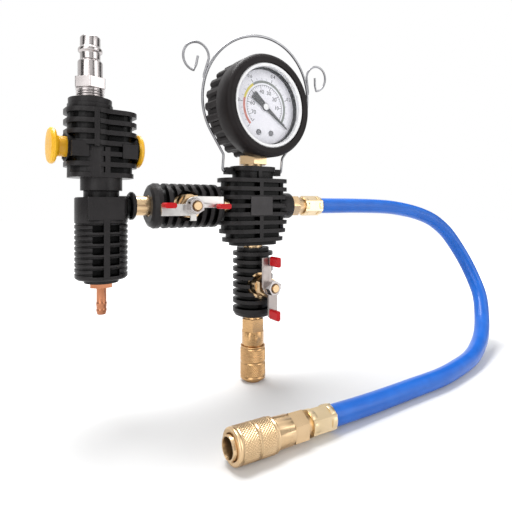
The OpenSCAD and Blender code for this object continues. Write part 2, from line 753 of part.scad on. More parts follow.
module gauge_boot() {
    r = boot_d / 2;
    inner = case_d / 2 + fit;
    band = r - 2;
    lip = bezel_d / 2 + 0.2;
    front_d = case_front + bezel_h + 0.8;
    back_d = case_front - case_depth;
    split = back_d + 0.55 * case_depth;
    pitch = 360 / boot_ribs;
    scallop = [for (i = [0:boot_ribs - 1], k = [[-0.36, 0], [-0.28, 1.1], [-0.15, 1.7],
        [0.15, 1.7], [0.28, 1.1], [0.36, 0]])
        let (a = (i + k[0]) * pitch) (band + k[1]) * [cos(a), sin(a)]];
    color([0.07, 0.07, 0.075]) at_gauge() difference() {
        union() {
            front(back_d) linear_extrude(split - back_d + 0.5) polygon(scallop);
            front() rotate_extrude() polygon([[0, back_d - 2], [band - 2, back_d - 2], [band - 0.3, back_d],
                [band - 0.3, back_d + 0.5], [0, back_d + 0.5]]);
            front() rotate_extrude() polygon([[0, split], [r - 0.6, split], [r, split + 1],
                [r, front_d - 2.4], [r - 0.8, front_d - 0.8], [r - 2.4, front_d], [0, front_d]]);
        }
        front(back_d) cylinder(r = inner, h = case_depth + 0.1);
        front(case_front) cylinder(r = lip, h = case_depth);
        front(back_d - 3) cylinder(r = 0.55 * inner, h = case_depth);
        translate([0, 0, -1.2 * r]) cylinder(r = spigot_d / 2 + 0.6, h = r);
        translate([0, 0, -gauge_rise])
            cylinder(d = gauge_hex / cos(30) + 1, h = hex_stand + gauge_hex_h + fit);
    }
}

module gauge_case() {
    r = case_d / 2;
    color("dimgray") at_gauge() difference() {
        front(case_front - case_depth) cylinder(r = r, h = case_depth);
        front(case_front - case_depth + 1.5) cylinder(r = dial_r - 1.3, h = case_depth);
        front(dial_front) cylinder(r = dial_r + fit, h = case_depth);
        translate([0, 0, -1.2 * r])
            cylinder(d = spigot_d + 2 * fit, h = 1.2 * r - bourdon_r - bourdon_tube_r);
    }
}

module gauge_dial() {
    color("white") at_gauge() difference() {
        union() {
            front(dial_front) cylinder(r = dial_r, h = dial_t);
            for (x = [-1, 1]) translate([x * 4.7, 0, -0.62 * dial_r]) front(dial_front)
                cylinder(r = 1.6, h = dial_t + 0.6);
        }
        front() cylinder(r = arbor_r + 0.4, h = case_depth);
    }
}

module gauge_bezel() {
    r = dial_r;
    inner = bezel_d / 2 - bezel_w;
    low = dial_front + dial_t;
    top = case_front + bezel_h;
    seat = r - lens_seat;
    color([0.93, 0.93, 0.94]) at_gauge() front() rotate_extrude() polygon([
        [seat, low], [r, low], [r, case_front], [bezel_d / 2, case_front], [bezel_d / 2, top - 0.5],
        [bezel_d / 2 - 0.5, top], [inner + 0.4, top], [inner, top - 0.5],
        [inner, lens_front], [seat + fit, lens_front], [seat + fit, lens_front - lens_t],
        [inner, lens_front - lens_t], [inner, low + 1], [seat, low + 1]]);
}

module gauge_lens() {
    color([0.85, 0.92, 0.95, 0.3]) at_gauge() front(lens_front - lens_t)
        cylinder(r = dial_r - lens_seat, h = lens_t);
}

module gauge_pointer() {
    tail = 0.54 * pointer_len;
    color([0.12, 0.12, 0.14]) at_gauge() front(pointer_front) rotate([0, 0, pointer_zero]) difference() {
        linear_extrude(pointer_t) {
            circle(r = 2.4);
            polygon([[0, -1.1], [0.55 * pointer_len, -0.7], [pointer_len, -0.2], [pointer_len, 0.2],
                [0.55 * pointer_len, 0.7], [0, 1.1]]);
            polygon([[0, -1.5], [0, 1.5], [-tail, 2.6], [-tail, -2.6]]);
        }
        translate([0, 0, -cut]) cylinder(r = arbor_r + fit / 2, h = 2 * pointer_t);
    }
}

// Gear outlines: teeth with straight flanks, from their angles at the tip and the root
function gear(teeth, picks, root_r, tip_r, root_a, tip_a, phase) = [for (i = picks)
    let (a = phase + 360 * i / teeth) each [
        root_r * [cos(a - root_a), sin(a - root_a)], tip_r * [cos(a - tip_a), sin(a - tip_a)],
        tip_r * [cos(a + tip_a), sin(a + tip_a)], root_r * [cos(a + root_a), sin(a + root_a)]]];

module pointer_arbor() {
    r = gear_module * pinion_teeth / 2;
    pitch = 360 / pinion_teeth;
    color("goldenrod") at_gauge() {
        front(plate_back + 0.4) cylinder(r = arbor_r, h = pointer_front + pointer_t + 0.5 - plate_back - 0.4);
        front(gear_front) rotate([0, 0, 90 + pitch / 2]) linear_extrude(gear_t)
            polygon(gear(pinion_teeth, [0:pinion_teeth - 1], r - 0.32, r + 0.18, 0.26 * pitch,
                0.12 * pitch, 0));
    }
}

module sector_gear() {
    r = gear_module * sector_teeth / 2;
    pitch = 360 / sector_teeth;
    turn = pointer_sweep * pinion_teeth / sector_teeth;
    last = ceil(turn / pitch) + 1;
    color("goldenrod") at_gauge() translate([0, 0, -gear_reach]) {
        front(plate_back + 0.4) cylinder(r = arbor_r, h = plate_span - 0.8);
        front(gear_front) linear_extrude(gear_t) {
            polygon(concat([[0, 0]], gear(sector_teeth, [-1:last], r - 0.32, r + 0.18, 0.26 * pitch,
                0.12 * pitch, 90)));
            circle(r = 2);
        }
    }
}

// Movement frame: two plates on pillars, standing on the gauge's stem
module gauge_movement() {
    stem_top = -bourdon_r - bourdon_tube_r - 0.1;
    low = -gear_reach - 4.2;
    color("khaki") at_gauge() difference() {
        union() {
            for (d = [plate_back, plate_back + plate_span - plate_t])
                front(d) translate([-movement_w / 2, low]) cube([movement_w, 3.5 - low, plate_t]);
            front(plate_back) translate([-3, stem_top]) cube([6, low - stem_top + cut, plate_t]);
            for (x = [-1, 1]) front(plate_back) translate([x * (movement_w / 2 - 1) - 1, low])
                cube([2, 1.6, plate_span]);
        }
        front() cylinder(r = arbor_r + run, h = case_depth);
        translate([0, 0, -gear_reach]) front() cylinder(r = arbor_r + run, h = case_depth);
    }
}

module bourdon_tube() {
    color("goldenrod") at_gauge() front(0) rotate([0, 0, -90]) rotate_extrude(angle = 255)
        translate([bourdon_r, 0]) circle(r = bourdon_tube_r, $fn = 24);
}

// Wire hanger, drawn above its ears and leaned forward about them
module at_ears() {
    translate([0, 0, ear_z]) rotate([hanger_lean, 0, 0]) children();
}

// Points on a circle of the hanger's plane, from one angle to another
function arc(centre, r, from, to, steps) = [for (i = [0:steps]) let (a = from + (to - from) * i / steps)
    centre + r * [cos(a), 0, sin(a)]];

module hanger_wire() {
    bend = wire_bend;
    peg_x = neck_w / 2 - 2.5;
    rise = leg_h + loop_r - loop_dip;
    foot = [leg_x, leg_h - rise];
    start = atan2(foot[1], foot[0]) + acos(loop_r / norm(foot));
    right = concat(
        [[peg_x, 0, 0], [leg_x - 2 * bend, 0, 0]],
        arc([leg_x - bend, 0, bend], bend, -90, 0, 4),
        [[leg_x, 0, leg_h - 1], [leg_x + 0.3, 0, leg_h + 0.6]]);
    left = [for (i = [len(right) - 1:-1:0]) [-right[i][0], 0, right[i][2]]];
    color([0.75, 0.76, 0.78]) at_ears()
        sweep(concat(right, arc([0, 0, rise], loop_r, start, 180 - start, 44), left), wire_d / 2, 8,
            [0, 1, 0]);
}

module hanger_hooks() {
    r = wire_d / 2 - 0.1;
    rise = leg_h + loop_r - loop_dip;
    weld = 15;
    tip = -82;
    base = [(loop_r + 1.6 * r) * cos(weld), 0, rise + (loop_r + 1.6 * r) * sin(weld)];
    centre = base + [0.7 * hook_r, 0, hook_h];
    hook = concat([base - [0, 0, 2], base], arc(centre, hook_r, 180, tip, 26),
        [centre + [-0.3, 0, -hook_r * 0.55], centre + [-1, 0, 0.5]]);
    color([0.75, 0.76, 0.78]) at_ears() for (x = [-1, 1])
        sweep([for (p = hook) [x * p[0], p[1], p[2]]], r, 8, [0, 1, 0]);
}

// Venturi unit
module at_ejector(z) {
    translate([unit_x, 0, z]) children();
}

module ejector_body() {
    r = ejector_d / 2;
    groove = 0.5;
    step = 2.8;
    rows = floor((ejector_h - 13) / (2 * step));
    spine = 3;
    plate_h = 11.5;
    plate_w = 0.65 * ejector_d;
    pocket_w = 0.19 * ejector_d;
    rise = ejector_top - ejector_z;
    color([0.1, 0.1, 0.11]) difference() {
        union() {
            at_ejector(ejector_z) rotate_extrude() polygon(concat(
                [[0, 0], [r - 1, 0], [r, 1]],
                [for (i = [0:2 * rows - 1]) let (z = 1.2 + i * step) each [[r, z], [r, z + step - 1.2],
                    [r - groove, z + step - 0.9], [r - groove, z + step - 0.3]]],
                [[r, 1.2 + 2 * rows * step], [r, rise - 0.6], [r - 0.6, rise], [0, rise]]));
            at_ejector(ejector_top - plate_h) translate([-plate_w / 2, -r - 0.1, 0])
                cube([plate_w, 2 * r + 0.2, plate_h]);
            at_ejector(ejector_z + 1) translate([-spine / 2, -r - 0.1, 0])
                cube([spine, 2 * r + 0.2, rise - plate_h]);
            at_ejector(ejector_top - cut) cylinder(d = neck_nut_d - 3.1, h = neck_ring_h + cut);
            at_ejector(ejector_top) cylinder(r = ejector_spigot, h = neck_ring_h + neck_nut_h + 5);
            along_x(unit_x) cylinder(d = 10.8 + tail_d - 9.8, h = port_reach - 1);
            along_x(unit_x + port_reach - 3) rotate_extrude() polygon([[0, 0], [6.6, 0], [7.65, 0.9],
                [7.65, 2.1], [6.8, 3], [0, 3]]);
        }
        for (i = [0:rows - 1], x = [-1, 1], y = [-1, 1])
            at_ejector(ejector_z + 1.2 + step + 2 * i * step)
                translate([x * (spine + pocket_w) / 2, y * r, 0])
                    cube([pocket_w, 9, 2 * step - 2.2], center = true);
        at_ejector(ejector_z) cylinder(r = ejector_bore + fit, h = 2 * ejector_h);
        at_ejector(ejector_z - cut) cylinder(r = cap_spigot + fit, h = cap_depth + cut);
        along_x(unit_x) cylinder(r = 2.6, h = port_reach);
        along_x(unit_x + port_reach - thread_len) cylinder(d = tail_d + 2 * fit, h = thread_len + cut);
    }
}

module venturi_nozzle() {
    low = pipe_z + 2.5;
    high = head_z + 5;
    color([0.8, 0.62, 0.32]) at_ejector(low) difference() {
        cylinder(r = ejector_bore, h = high - low);
        translate([0, 0, -cut]) cylinder(r = 1, h = high - low + 2 * cut);
        translate([0, 0, 4]) cylinder(r1 = 1, r2 = 3.2, h = high - low - 4 + cut);
    }
}

module venturi_diffuser() {
    low = ejector_z + cap_depth;
    high = pipe_z - 3.5;
    color([0.8, 0.62, 0.32]) at_ejector(low) difference() {
        cylinder(r = ejector_bore, h = high - low);
        translate([0, 0, -cut]) cylinder(r1 = 3, r2 = 1.6, h = high - low + 2 * cut);
        translate([0, 0, high - low - 3]) cylinder(r1 = 1.6, r2 = 3.4, h = 3 + cut);
    }
}

module ejector_cap() {
    color([0.08, 0.08, 0.09]) at_ejector(ejector_z) difference() {
        union() {
            translate([0, 0, -cap_h]) cylinder(r = cap_spigot + 2.5, h = cap_h);
            cylinder(r = cap_spigot, h = cap_depth);
        }
        translate([0, 0, -cap_h - cut]) cylinder(r = 4 + fit, h = cap_h + cap_depth + 2 * cut);
    }
}

module exhaust_barb() {
    r = barb_d / 2;
    color([0.8, 0.5, 0.3]) at_ejector(ejector_z - cap_h - barb_hex_h) difference() {
        union() {
            cylinder(r = 4, h = barb_hex_h + cap_h + cap_depth - 0.5);
            rotate([0, 0, 15]) hex(barb_hex, barb_hex_h);
            translate([0, 0, -barb_len]) rotate_extrude() polygon([[0, 0], [r - 0.4, 0], [r + 0.25, 2.6],
                [r, 2.8], [r, 3.6], [r + 0.25, 6.2], [r, 6.4], [r, barb_len + 1], [0, barb_len + 1]]);
        }
        translate([0, 0, -barb_len - cut]) 
            cylinder(r = r - 0.8, h = barb_len + barb_hex_h + cap_h + cap_depth);
    }
}

module port_nipple() {
    from = unit_x + port_reach;
    to = suction_x + 0.5;
    color([0.84, 0.67, 0.37]) difference() {
        union() {
            along_x(from - thread_len + 0.5) cylinder(d = tail_d, h = to - from + 2 * thread_len - 1.5);
            along_x(from) cylinder(d = tail_d + 0.8, h = to - from);
        }
        along_x(from - thread_len) cylinder(d = tail_d - 3.6, h = to - from + 2 * thread_len);
    }
}

module neck_nut() {
    color([0.09, 0.09, 0.1]) at_ejector(ejector_top + neck_ring_h)
        ring(neck_nut_d / 2, ejector_spigot + fit, neck_nut_h);
}

module head_body() {
    rib = 2.4;
    groove = 2.3;
    rows = 6;
    pitch = (main_h - rib) / rows;
    middle = (head_left + head_right) / 2;
    spine = 2.6;
    patch = 8;
    color([0.1, 0.1, 0.11]) at_head() difference() {
        union() {
            translate([middle, 0, 0]) plate(head_w - 2 * groove, head_d - 2 * groove, 6.5, main_h);
            for (i = [0:rows]) translate([middle, 0, i * pitch])
                plate(i == 0 ? head_w - 3.5 : head_w, head_d, 8.5, rib);
            translate([-inlet_shift, 0, 0]) {
                cylinder(r = tower_r - 1.3, h = tower_h);
                for (i = [3:rows]) translate([0, 0, i * pitch]) cylinder(r = tower_r, h = rib);
                translate([0, 0, tower_h]) cylinder(r = tower_r - 1.75, h = collar_h);
                translate([-spine / 2, -tower_r, spool_rise]) cube([spine, 2 * tower_r, main_h - spool_rise]);
            }
            translate([-spine / 2, -head_d / 2, 0]) cube([spine, head_d, spool_rise]);
            for (x = [head_left + 1, head_right - patch - 2])
                translate([x, -head_d / 2 - 0.3, spool_rise - 5.4]) cube([patch, head_d + 0.6, 7.5]);
            translate([head_left, 0, spool_rise]) rotate([0, 90, 0]) cylinder(d = spool_d + 5, h = head_w);
        }
        translate([head_left - 1, 0, spool_rise]) rotate([0, 90, 0])
            cylinder(d = spool_d + 2 * run, h = head_w + 2);
        translate([head_left - cut, 0, spool_rise]) rotate([0, 90, 0])
            cylinder(d1 = spool_d + 2 * flare + 1.4, d2 = spool_d, h = flare + 0.7);
        translate([-inlet_shift, 0, spool_rise]) cylinder(r = 3, h = 2 * head_h);
        translate([-inlet_shift, 0, head_h + collar_h - plug_depth])
            cylinder(d = plug_thread_d + 2 * fit, h = plug_depth + cut);
        translate([0, 0, -cut]) cylinder(r = 3, h = spool_rise);
        translate([0, 0, -cut]) cylinder(r = ejector_spigot + fit, h = 5 + cut);
    }
}

module air_plug() {
    shank = plug_hex_h + shank_len;
    ridge = shank + waist_len;
    nose = ridge + ridge_len;
    top = nose + nose_len;
    shoulder_r = ridge_d / 2 + 0.15;
    r = nose_d / 2;
    base = head_top - head_z;
    color([0.8, 0.79, 0.78]) at_head() translate([-inlet_shift, 0, base]) difference() {
        union() {
            translate([0, 0, 0.5 - plug_depth])
                cylinder(d = plug_thread_d, h = plug_depth - 0.5 + plug_stand);
            translate([0, 0, plug_stand]) rotate([0, 0, 15]) hex(plug_hex, plug_hex_h);
            translate([0, 0, plug_stand]) rotate_extrude() polygon([[0, 0], [shoulder_r, 0],
                [shoulder_r, shank], [r, shank + 1.2], [r, ridge - 0.9], [ridge_d / 2, ridge],
                [ridge_d / 2, nose], [r, nose + 1], [r, top - 0.9], [r - 0.9, top], [0, top]]);
        }
        translate([0, 0, -plug_depth]) cylinder(d = plug_bore, h = plug_depth + plug_stand + top + cut);
    }
}

// Spool, drawn along +Z from the outer face of its fixed knob
module at_spool() {
    translate([unit_x, 0, spool_z]) rotate([0, 0, head_turn]) rotate([0, 90, 0])
        translate([0, 0, head_left - gap - spool_travel - knob_t]) children();
}

module knob(bore) {
    r = knob_d / 2;
    rotate_extrude() polygon([[bore, 0], [0.5 * r, 0], [r - 0.8, 0.3], [r, 1], [r, knob_t - 0.9],
        [r - 0.7, knob_t], [bore, knob_t]]);
}

module spool() {
    r = spool_d / 2;
    length = head_w + 2 * gap + spool_travel + knob_t;
    color([0.98, 0.72, 0.05]) at_spool() {
        knob(0);
        rotate_extrude() polygon(concat(
            [[0, knob_t - 0.5], [r + flare, knob_t - 0.5], [r, knob_t + flare]],
            [for (z = ring_spots) each [[r, z - 0.75], [r - 1, z - 0.75], [r - 1, z + 0.75], [r, z + 0.75]]],
            [[r, length], [0, length]]));
        translate([0, 0, length - cut]) cylinder(r = 3, h = knob_t - 0.8);
    }
}

module spool_end_knob() {
    length = head_w + 2 * gap + spool_travel + knob_t;
    color([0.98, 0.72, 0.05]) at_spool() translate([0, 0, length]) difference() {
        translate([0, 0, knob_t]) mirror([0, 0, 1]) knob(0);
        translate([0, 0, -cut]) cylinder(r = 3 + fit, h = knob_t - 0.7 + cut);
    }
}

module spool_orings() {
    color([0.05, 0.05, 0.05]) at_spool() for (z = ring_spots) translate([0, 0, z]) rotate_extrude()
        translate([spool_d / 2 - 0.5, 0]) circle(r = 0.47, $fn = 24);
}

// The two ball valves
module suction_sleeve() {
    at_suction() valve_sleeve();
}

module suction_valve_body() {
    at_suction() valve_body();
}

module suction_valve_end() {
    at_suction() valve_end();
}

module suction_seats() {
    at_suction() valve_seats();
}

module suction_ball() {
    at_suction() valve_ball();
}

module suction_stem() {
    at_suction() valve_stem();
}

module suction_gland() {
    at_suction() valve_gland();
}

module suction_packing() {
    at_suction() valve_packing();
}

module suction_lever() {
    at_suction() valve_lever();
}

module suction_grips() {
    at_suction() valve_grips();
}

module suction_lever_nut() {
    at_suction() valve_lever_nut();
}

module refill_sleeve() {
    at_refill() valve_sleeve();
}

module refill_valve_body() {
    at_refill() valve_body();
}

module refill_valve_end() {
    at_refill() valve_end();
}

module refill_seats() {
    at_refill() valve_seats();
}

module refill_ball() {
    at_refill() valve_ball();
}

module refill_stem() {
    at_refill() valve_stem();
}

module refill_gland() {
    at_refill() valve_gland();
}

module refill_packing() {
    at_refill() valve_packing();
}

module refill_lever() {
    at_refill() valve_lever();
}

module refill_grips() {
    at_refill() valve_grips();
}

module refill_lever_nut() {
    at_refill() valve_lever_nut();
}

// The two quick couplers
module socket_body() {
    coupler_body(spigot_d / 2 - 0.5, refill_z + 0.5, tail_d / 2, refill_z + thread_len - 0.5);
}

module hose_coupler_body() {
    neck_end = coupler_len + coupler_neck;
    at_hose_end() coupler_body(coupler_neck_r, neck_end, 0.3 * hose_d, neck_end + ferrule_len - 2);
}

module socket_sleeve() {
    coupler_sleeve();
}

module hose_coupler_sleeve() {
    at_hose_end() coupler_sleeve();
}

module socket_spring() {
    coupler_spring();
}

module hose_coupler_spring() {
    at_hose_end() coupler_spring();
}

module socket_balls() {
    coupler_balls();
}

module hose_coupler_balls() {
    at_hose_end() coupler_balls();
}

air_plug();
head_body();
spool();
spool_end_knob();
spool_orings();
neck_nut();
ejector_body();
venturi_nozzle();
venturi_diffuser();
ejector_cap();
exhaust_barb();
port_nipple();
suction_sleeve();
suction_valve_body();
suction_valve_end();
suction_seats();
suction_ball();
suction_stem();
suction_gland();
suction_packing();
suction_lever();
suction_grips();
suction_lever_nut();
refill_sleeve();
refill_valve_body();
refill_valve_end();
refill_seats();
refill_ball();
refill_stem();
refill_gland();
refill_packing();
refill_lever();
refill_grips();
refill_lever_nut();
manifold_block();
gauge_adapter();
gauge_boot();
gauge_case();
gauge_bezel();
gauge_lens();
gauge_dial();
gauge_pointer();
pointer_arbor();
sector_gear();
bourdon_tube();
gauge_movement();
hanger_wire();
hanger_hooks();
hose_fitting();
inlet_ferrule();
hose();
outlet_ferrule();
hose_coupler_body();
hose_coupler_sleeve();
hose_coupler_spring();
hose_coupler_balls();
socket_body();
socket_sleeve();
socket_spring();
socket_balls();
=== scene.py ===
"""Looks of the coolant vacuum filler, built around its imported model."""
import json
import math

import bpy
from mathutils import Matrix, Vector


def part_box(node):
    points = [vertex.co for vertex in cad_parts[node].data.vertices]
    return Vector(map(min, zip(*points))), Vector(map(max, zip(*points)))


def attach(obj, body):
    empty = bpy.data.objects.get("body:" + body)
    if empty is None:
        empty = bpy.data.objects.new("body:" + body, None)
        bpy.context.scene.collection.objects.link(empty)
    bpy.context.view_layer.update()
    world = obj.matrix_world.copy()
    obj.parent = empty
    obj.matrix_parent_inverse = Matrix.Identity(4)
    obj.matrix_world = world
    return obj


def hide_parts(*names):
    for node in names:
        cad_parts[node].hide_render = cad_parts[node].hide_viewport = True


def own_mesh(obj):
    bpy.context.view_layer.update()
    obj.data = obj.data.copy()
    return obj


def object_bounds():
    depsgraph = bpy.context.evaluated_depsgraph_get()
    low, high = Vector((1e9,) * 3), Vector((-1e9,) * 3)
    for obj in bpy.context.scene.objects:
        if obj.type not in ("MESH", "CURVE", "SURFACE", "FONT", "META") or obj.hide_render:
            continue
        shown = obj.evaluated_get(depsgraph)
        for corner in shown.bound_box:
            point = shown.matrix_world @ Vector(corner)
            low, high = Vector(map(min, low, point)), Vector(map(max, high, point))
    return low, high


MM = 0.001
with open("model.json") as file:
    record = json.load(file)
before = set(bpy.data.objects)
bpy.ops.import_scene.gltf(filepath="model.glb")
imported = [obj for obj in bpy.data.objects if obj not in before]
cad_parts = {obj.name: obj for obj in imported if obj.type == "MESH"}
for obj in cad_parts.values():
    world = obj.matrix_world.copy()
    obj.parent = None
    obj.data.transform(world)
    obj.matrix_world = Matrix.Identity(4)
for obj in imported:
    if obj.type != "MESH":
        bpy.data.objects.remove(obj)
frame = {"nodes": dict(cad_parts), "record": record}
nodes = frame["nodes"]
cad_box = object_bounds()
scene = bpy.context.scene
scene.view_settings.view_transform = "Standard"


# Camera in the photograph's place: level, close, with the horizon above the middle of the frame
CAMERA_POS = Vector((-140, -237, 111)) * MM
CAMERA_TURN = -31
CAMERA_LENS = 30.4
CAMERA_SENSOR = 36
CAMERA_SHIFT = -0.0996
CAMERA_NEAR = 0.01

camera = bpy.data.objects.new("camera", bpy.data.cameras.new("camera"))
camera.location = CAMERA_POS
camera.rotation_euler = (math.radians(90), 0, math.radians(CAMERA_TURN))
camera.data.lens = CAMERA_LENS
camera.data.sensor_width = CAMERA_SENSOR
camera.data.shift_y = CAMERA_SHIFT
camera.data.clip_start = CAMERA_NEAR
scene.collection.objects.link(camera)
scene.camera = camera


# Frames of the parts that don't stand along the axes
def basis(origin_mm, right, up, out):
    """Matrix that puts local X, Y and Z along right, up and out at a point."""
    m = Matrix((right, up, out)).transposed().to_4x4()
    m.translation = Vector(origin_mm) * MM
    return m


GAUGE_Z = 171
GAUGE_TURN = math.radians(5)
gauge_right = Vector((math.cos(GAUGE_TURN), math.sin(GAUGE_TURN), 0))
gauge_out = Vector((math.sin(GAUGE_TURN), -math.cos(GAUGE_TURN), 0))
GAUGE = basis((0, 0, GAUGE_Z), gauge_right, Vector((0, 0, 1)), gauge_out)

HOSE_TURN = math.radians(2)
HOSE_TILT = math.radians(2)
HOSE_END = (0.5, -73.05, 6.7)
HOSE_TAIL = 57.2
hose_along = Vector((math.cos(HOSE_TILT) * math.cos(HOSE_TURN), math.cos(HOSE_TILT) * math.sin(HOSE_TURN),
                     -math.sin(HOSE_TILT)))
hose_side = Vector((-math.sin(HOSE_TURN), math.cos(HOSE_TURN), 0))
hose_mouth = Vector(HOSE_END) - HOSE_TAIL * hose_along
COUPLER = basis(hose_mouth, hose_along.cross(hose_side) * -1, hose_side, hose_along)


# Shader nodes, added to a material or a world
def material(name, base, rough, metallic=0.0, **sockets):
    """New material with its shader's plain numbers set on the shader's own sockets."""
    mat = bpy.data.materials.new(name)
    mat.use_nodes = True
    shader = mat.node_tree.nodes["Principled BSDF"]
    shader.inputs["Base Color"].default_value = (*base, 1)
    shader.inputs["Roughness"].default_value = rough
    shader.inputs["Metallic"].default_value = metallic
    for socket, value in sockets.items():
        shader.inputs[socket.replace("_", " ")].default_value = value
    return mat


def put(owner, socket, value):
    """Link a socket to another node's output, or set it to a plain value."""
    if isinstance(value, bpy.types.NodeSocket):
        owner.node_tree.links.new(value, socket)
    else:
        socket.default_value = value


def add(owner, kind, operation=None, **inputs):
    """New node with its operation chosen, and its inputs set or linked."""
    node = owner.node_tree.nodes.new(kind)
    if operation:
        node.operation = operation
    for name, value in inputs.items():
        put(owner, node.inputs[name], value)
    return node


def calc(owner, operation, *values):
    """Result of a Math node over some numbers or sockets."""
    node = add(owner, "ShaderNodeMath", operation)
    for socket, value in zip(node.inputs, values):
        put(owner, socket, value)
    return node.outputs[0]


def scaled(owner, colour, factor):
    """Colour times a number."""
    return add(owner, "ShaderNodeVectorMath", "SCALE", Vector=colour, Scale=factor).outputs["Vector"]


def spread(owner, value, low, high, start=0.0, end=1.0):
    """Number that runs from low to high as a value runs from start to end."""
    return add(owner, "ShaderNodeMapRange", Value=value,
               **{"From Min": start, "From Max": end, "To Min": low, "To Max": high}).outputs["Result"]


def noise(mat, scale, detail=3.0, stretch=(1, 1, 1)):
    """Noise in the object's own metres; returns its value socket."""
    place = add(mat, "ShaderNodeTexCoord")
    stretched = add(mat, "ShaderNodeMapping", Vector=place.outputs["Object"], Scale=stretch)
    return add(mat, "ShaderNodeTexNoise", Vector=stretched.outputs["Vector"], Scale=scale,
               Detail=detail).outputs["Fac"]


def ramp(mat, value, low, high, start=0.3, end=0.7):
    """Colour that runs from low to high over a value."""
    node = add(mat, "ShaderNodeValToRGB", Fac=value)
    for stop, position, colour in zip(node.color_ramp.elements, (start, end), (low, high)):
        stop.position = position
        stop.color = (*colour, 1)
    return node.outputs["Color"]


def feed(mat, socket, value):
    """Link a socket of the material's own shader."""
    put(mat, mat.node_tree.nodes["Principled BSDF"].inputs[socket], value)


def bump(mat, height, depth_mm, strength=0.5):
    """Fine relief on the shader's normal."""
    node = add(mat, "ShaderNodeBump", Height=height, Strength=strength, Distance=depth_mm * MM)
    feed(mat, "Normal", node.outputs["Normal"])


GROOVE_SAMPLES = 8


# Painted shade: ambient occlusion darkens the colour in grooves and bores
def in_grooves(mat, colour, reach_mm, low, shut=0.4, free=0.9):
    """Colour that falls to a share of itself in grooves and bores, as painted shade where the part shuts out
    light.
    """
    openness = add(mat, "ShaderNodeAmbientOcclusion", Distance=reach_mm * MM)
    openness.only_local = True
    openness.samples = GROOVE_SAMPLES
    return scaled(mat, colour, spread(mat, openness.outputs["AO"], low, 1.0, shut, free))


def lighter_plates(mat, centre_mm, half_mm, gain):
    """Raise the colour on a front plate and its mirror at the back, in a box in the object's millimetres, as a
    painted sheen of the plate's satin face.
    """
    place = add(mat, "ShaderNodeTexCoord")
    mirrored = add(mat, "ShaderNodeVectorMath", "ABSOLUTE", Vector=place.outputs["Object"])
    axes = add(mat, "ShaderNodeSeparateXYZ", Vector=mirrored.outputs["Vector"])
    inside = 1.0
    for axis, centre, half in zip("XYZ", centre_mm, half_mm):
        near = calc(mat, "COMPARE", axes.outputs[axis], centre * MM, half * MM)
        inside = calc(mat, "MULTIPLY", inside, near)
    colour = mat.node_tree.nodes["Principled BSDF"].inputs["Base Color"].links[0].from_socket
    feed(mat, "Base Color", scaled(mat, colour, spread(mat, inside, 1.0, gain)))


# Moulded and metal surfaces; noise scales are per metre, depths in millimetres
MOULD_MOTTLE = 90
MOULD_GLOSS = 320
MOULD_SWING = 0.09
METAL_MOTTLE = 130
METAL_STREAKS = 500
METAL_SMOOTHER = 0.07
METAL_ROUGHER = 0.08
TURNED_Z = (0.12, 0.12, 4)
TURNED_X = (4, 0.12, 0.12)


def moulded(name, dark, light, rough, grain=2200, depth=0.05, groove_shade=None, **sockets):
    """Moulded plastic or rubber: faint mottle, fine grain and uneven gloss."""
    mat = material(name, dark, rough, **sockets)
    tone = ramp(mat, noise(mat, MOULD_MOTTLE), dark, light)
    feed(mat, "Base Color", in_grooves(mat, tone, *groove_shade) if groove_shade else tone)
    feed(mat, "Roughness", spread(mat, noise(mat, MOULD_GLOSS), rough - MOULD_SWING, rough + MOULD_SWING))
    bump(mat, noise(mat, grain, 2), depth)
    return mat


def metal(name, dark, light, rough, stretch=(1, 1, 1), grain=1500, depth=0.012, groove_shade=None, **sockets):
    """Metal with a slight tone change, tool or rolling marks along one way, and uneven polish."""
    mat = material(name, light, rough, metallic=1.0, **sockets)
    tone = ramp(mat, noise(mat, METAL_MOTTLE), dark, light)
    feed(mat, "Base Color", in_grooves(mat, tone, *groove_shade) if groove_shade else tone)
    feed(mat, "Roughness", spread(mat, noise(mat, METAL_STREAKS, 4, stretch), rough - METAL_SMOOTHER,
                                  rough + METAL_ROUGHER))
    bump(mat, noise(mat, grain, 2, stretch), depth)
    return mat


BLACK = ((0.0245, 0.0230, 0.0235), (0.0325, 0.0304, 0.0310), 0.30)
# Painted shade in the black parts' grooves: reach in mm, lowest share, and the openness over which it fades
BLACK_GROOVE_SHADE = (8, 0.02, 0.6, 0.95)
BLACK_GLOSS = 0.08
PLATE_AT = (0, 11.3, 110.5)
PLATE_HALF = (7.8, 0.3, 5.8)
PLATE_SHEEN_GAIN = 2.0
BRASS = ((0.61, 0.43, 0.245), (0.69, 0.50, 0.30), 0.30)

black = moulded("black_plastic", *BLACK, groove_shade=BLACK_GROOVE_SHADE, Specular_IOR_Level=BLACK_GLOSS)
block_black = moulded("block_black", *BLACK, groove_shade=BLACK_GROOVE_SHADE, Specular_IOR_Level=BLACK_GLOSS)
# Painted sheen: the block's plate is coloured lighter than the rest of the black
lighter_plates(block_black, PLATE_AT, PLATE_HALF, PLATE_SHEEN_GAIN)
yellow = moulded("yellow_plastic", (0.86, 0.44, 0.010), (0.95, 0.53, 0.018), 0.38, depth=0.02)
red = moulded("red_vinyl", (0.44, 0.004, 0.008), (0.54, 0.008, 0.012), 0.34, depth=0.02, Specular_IOR_Level=0.2)
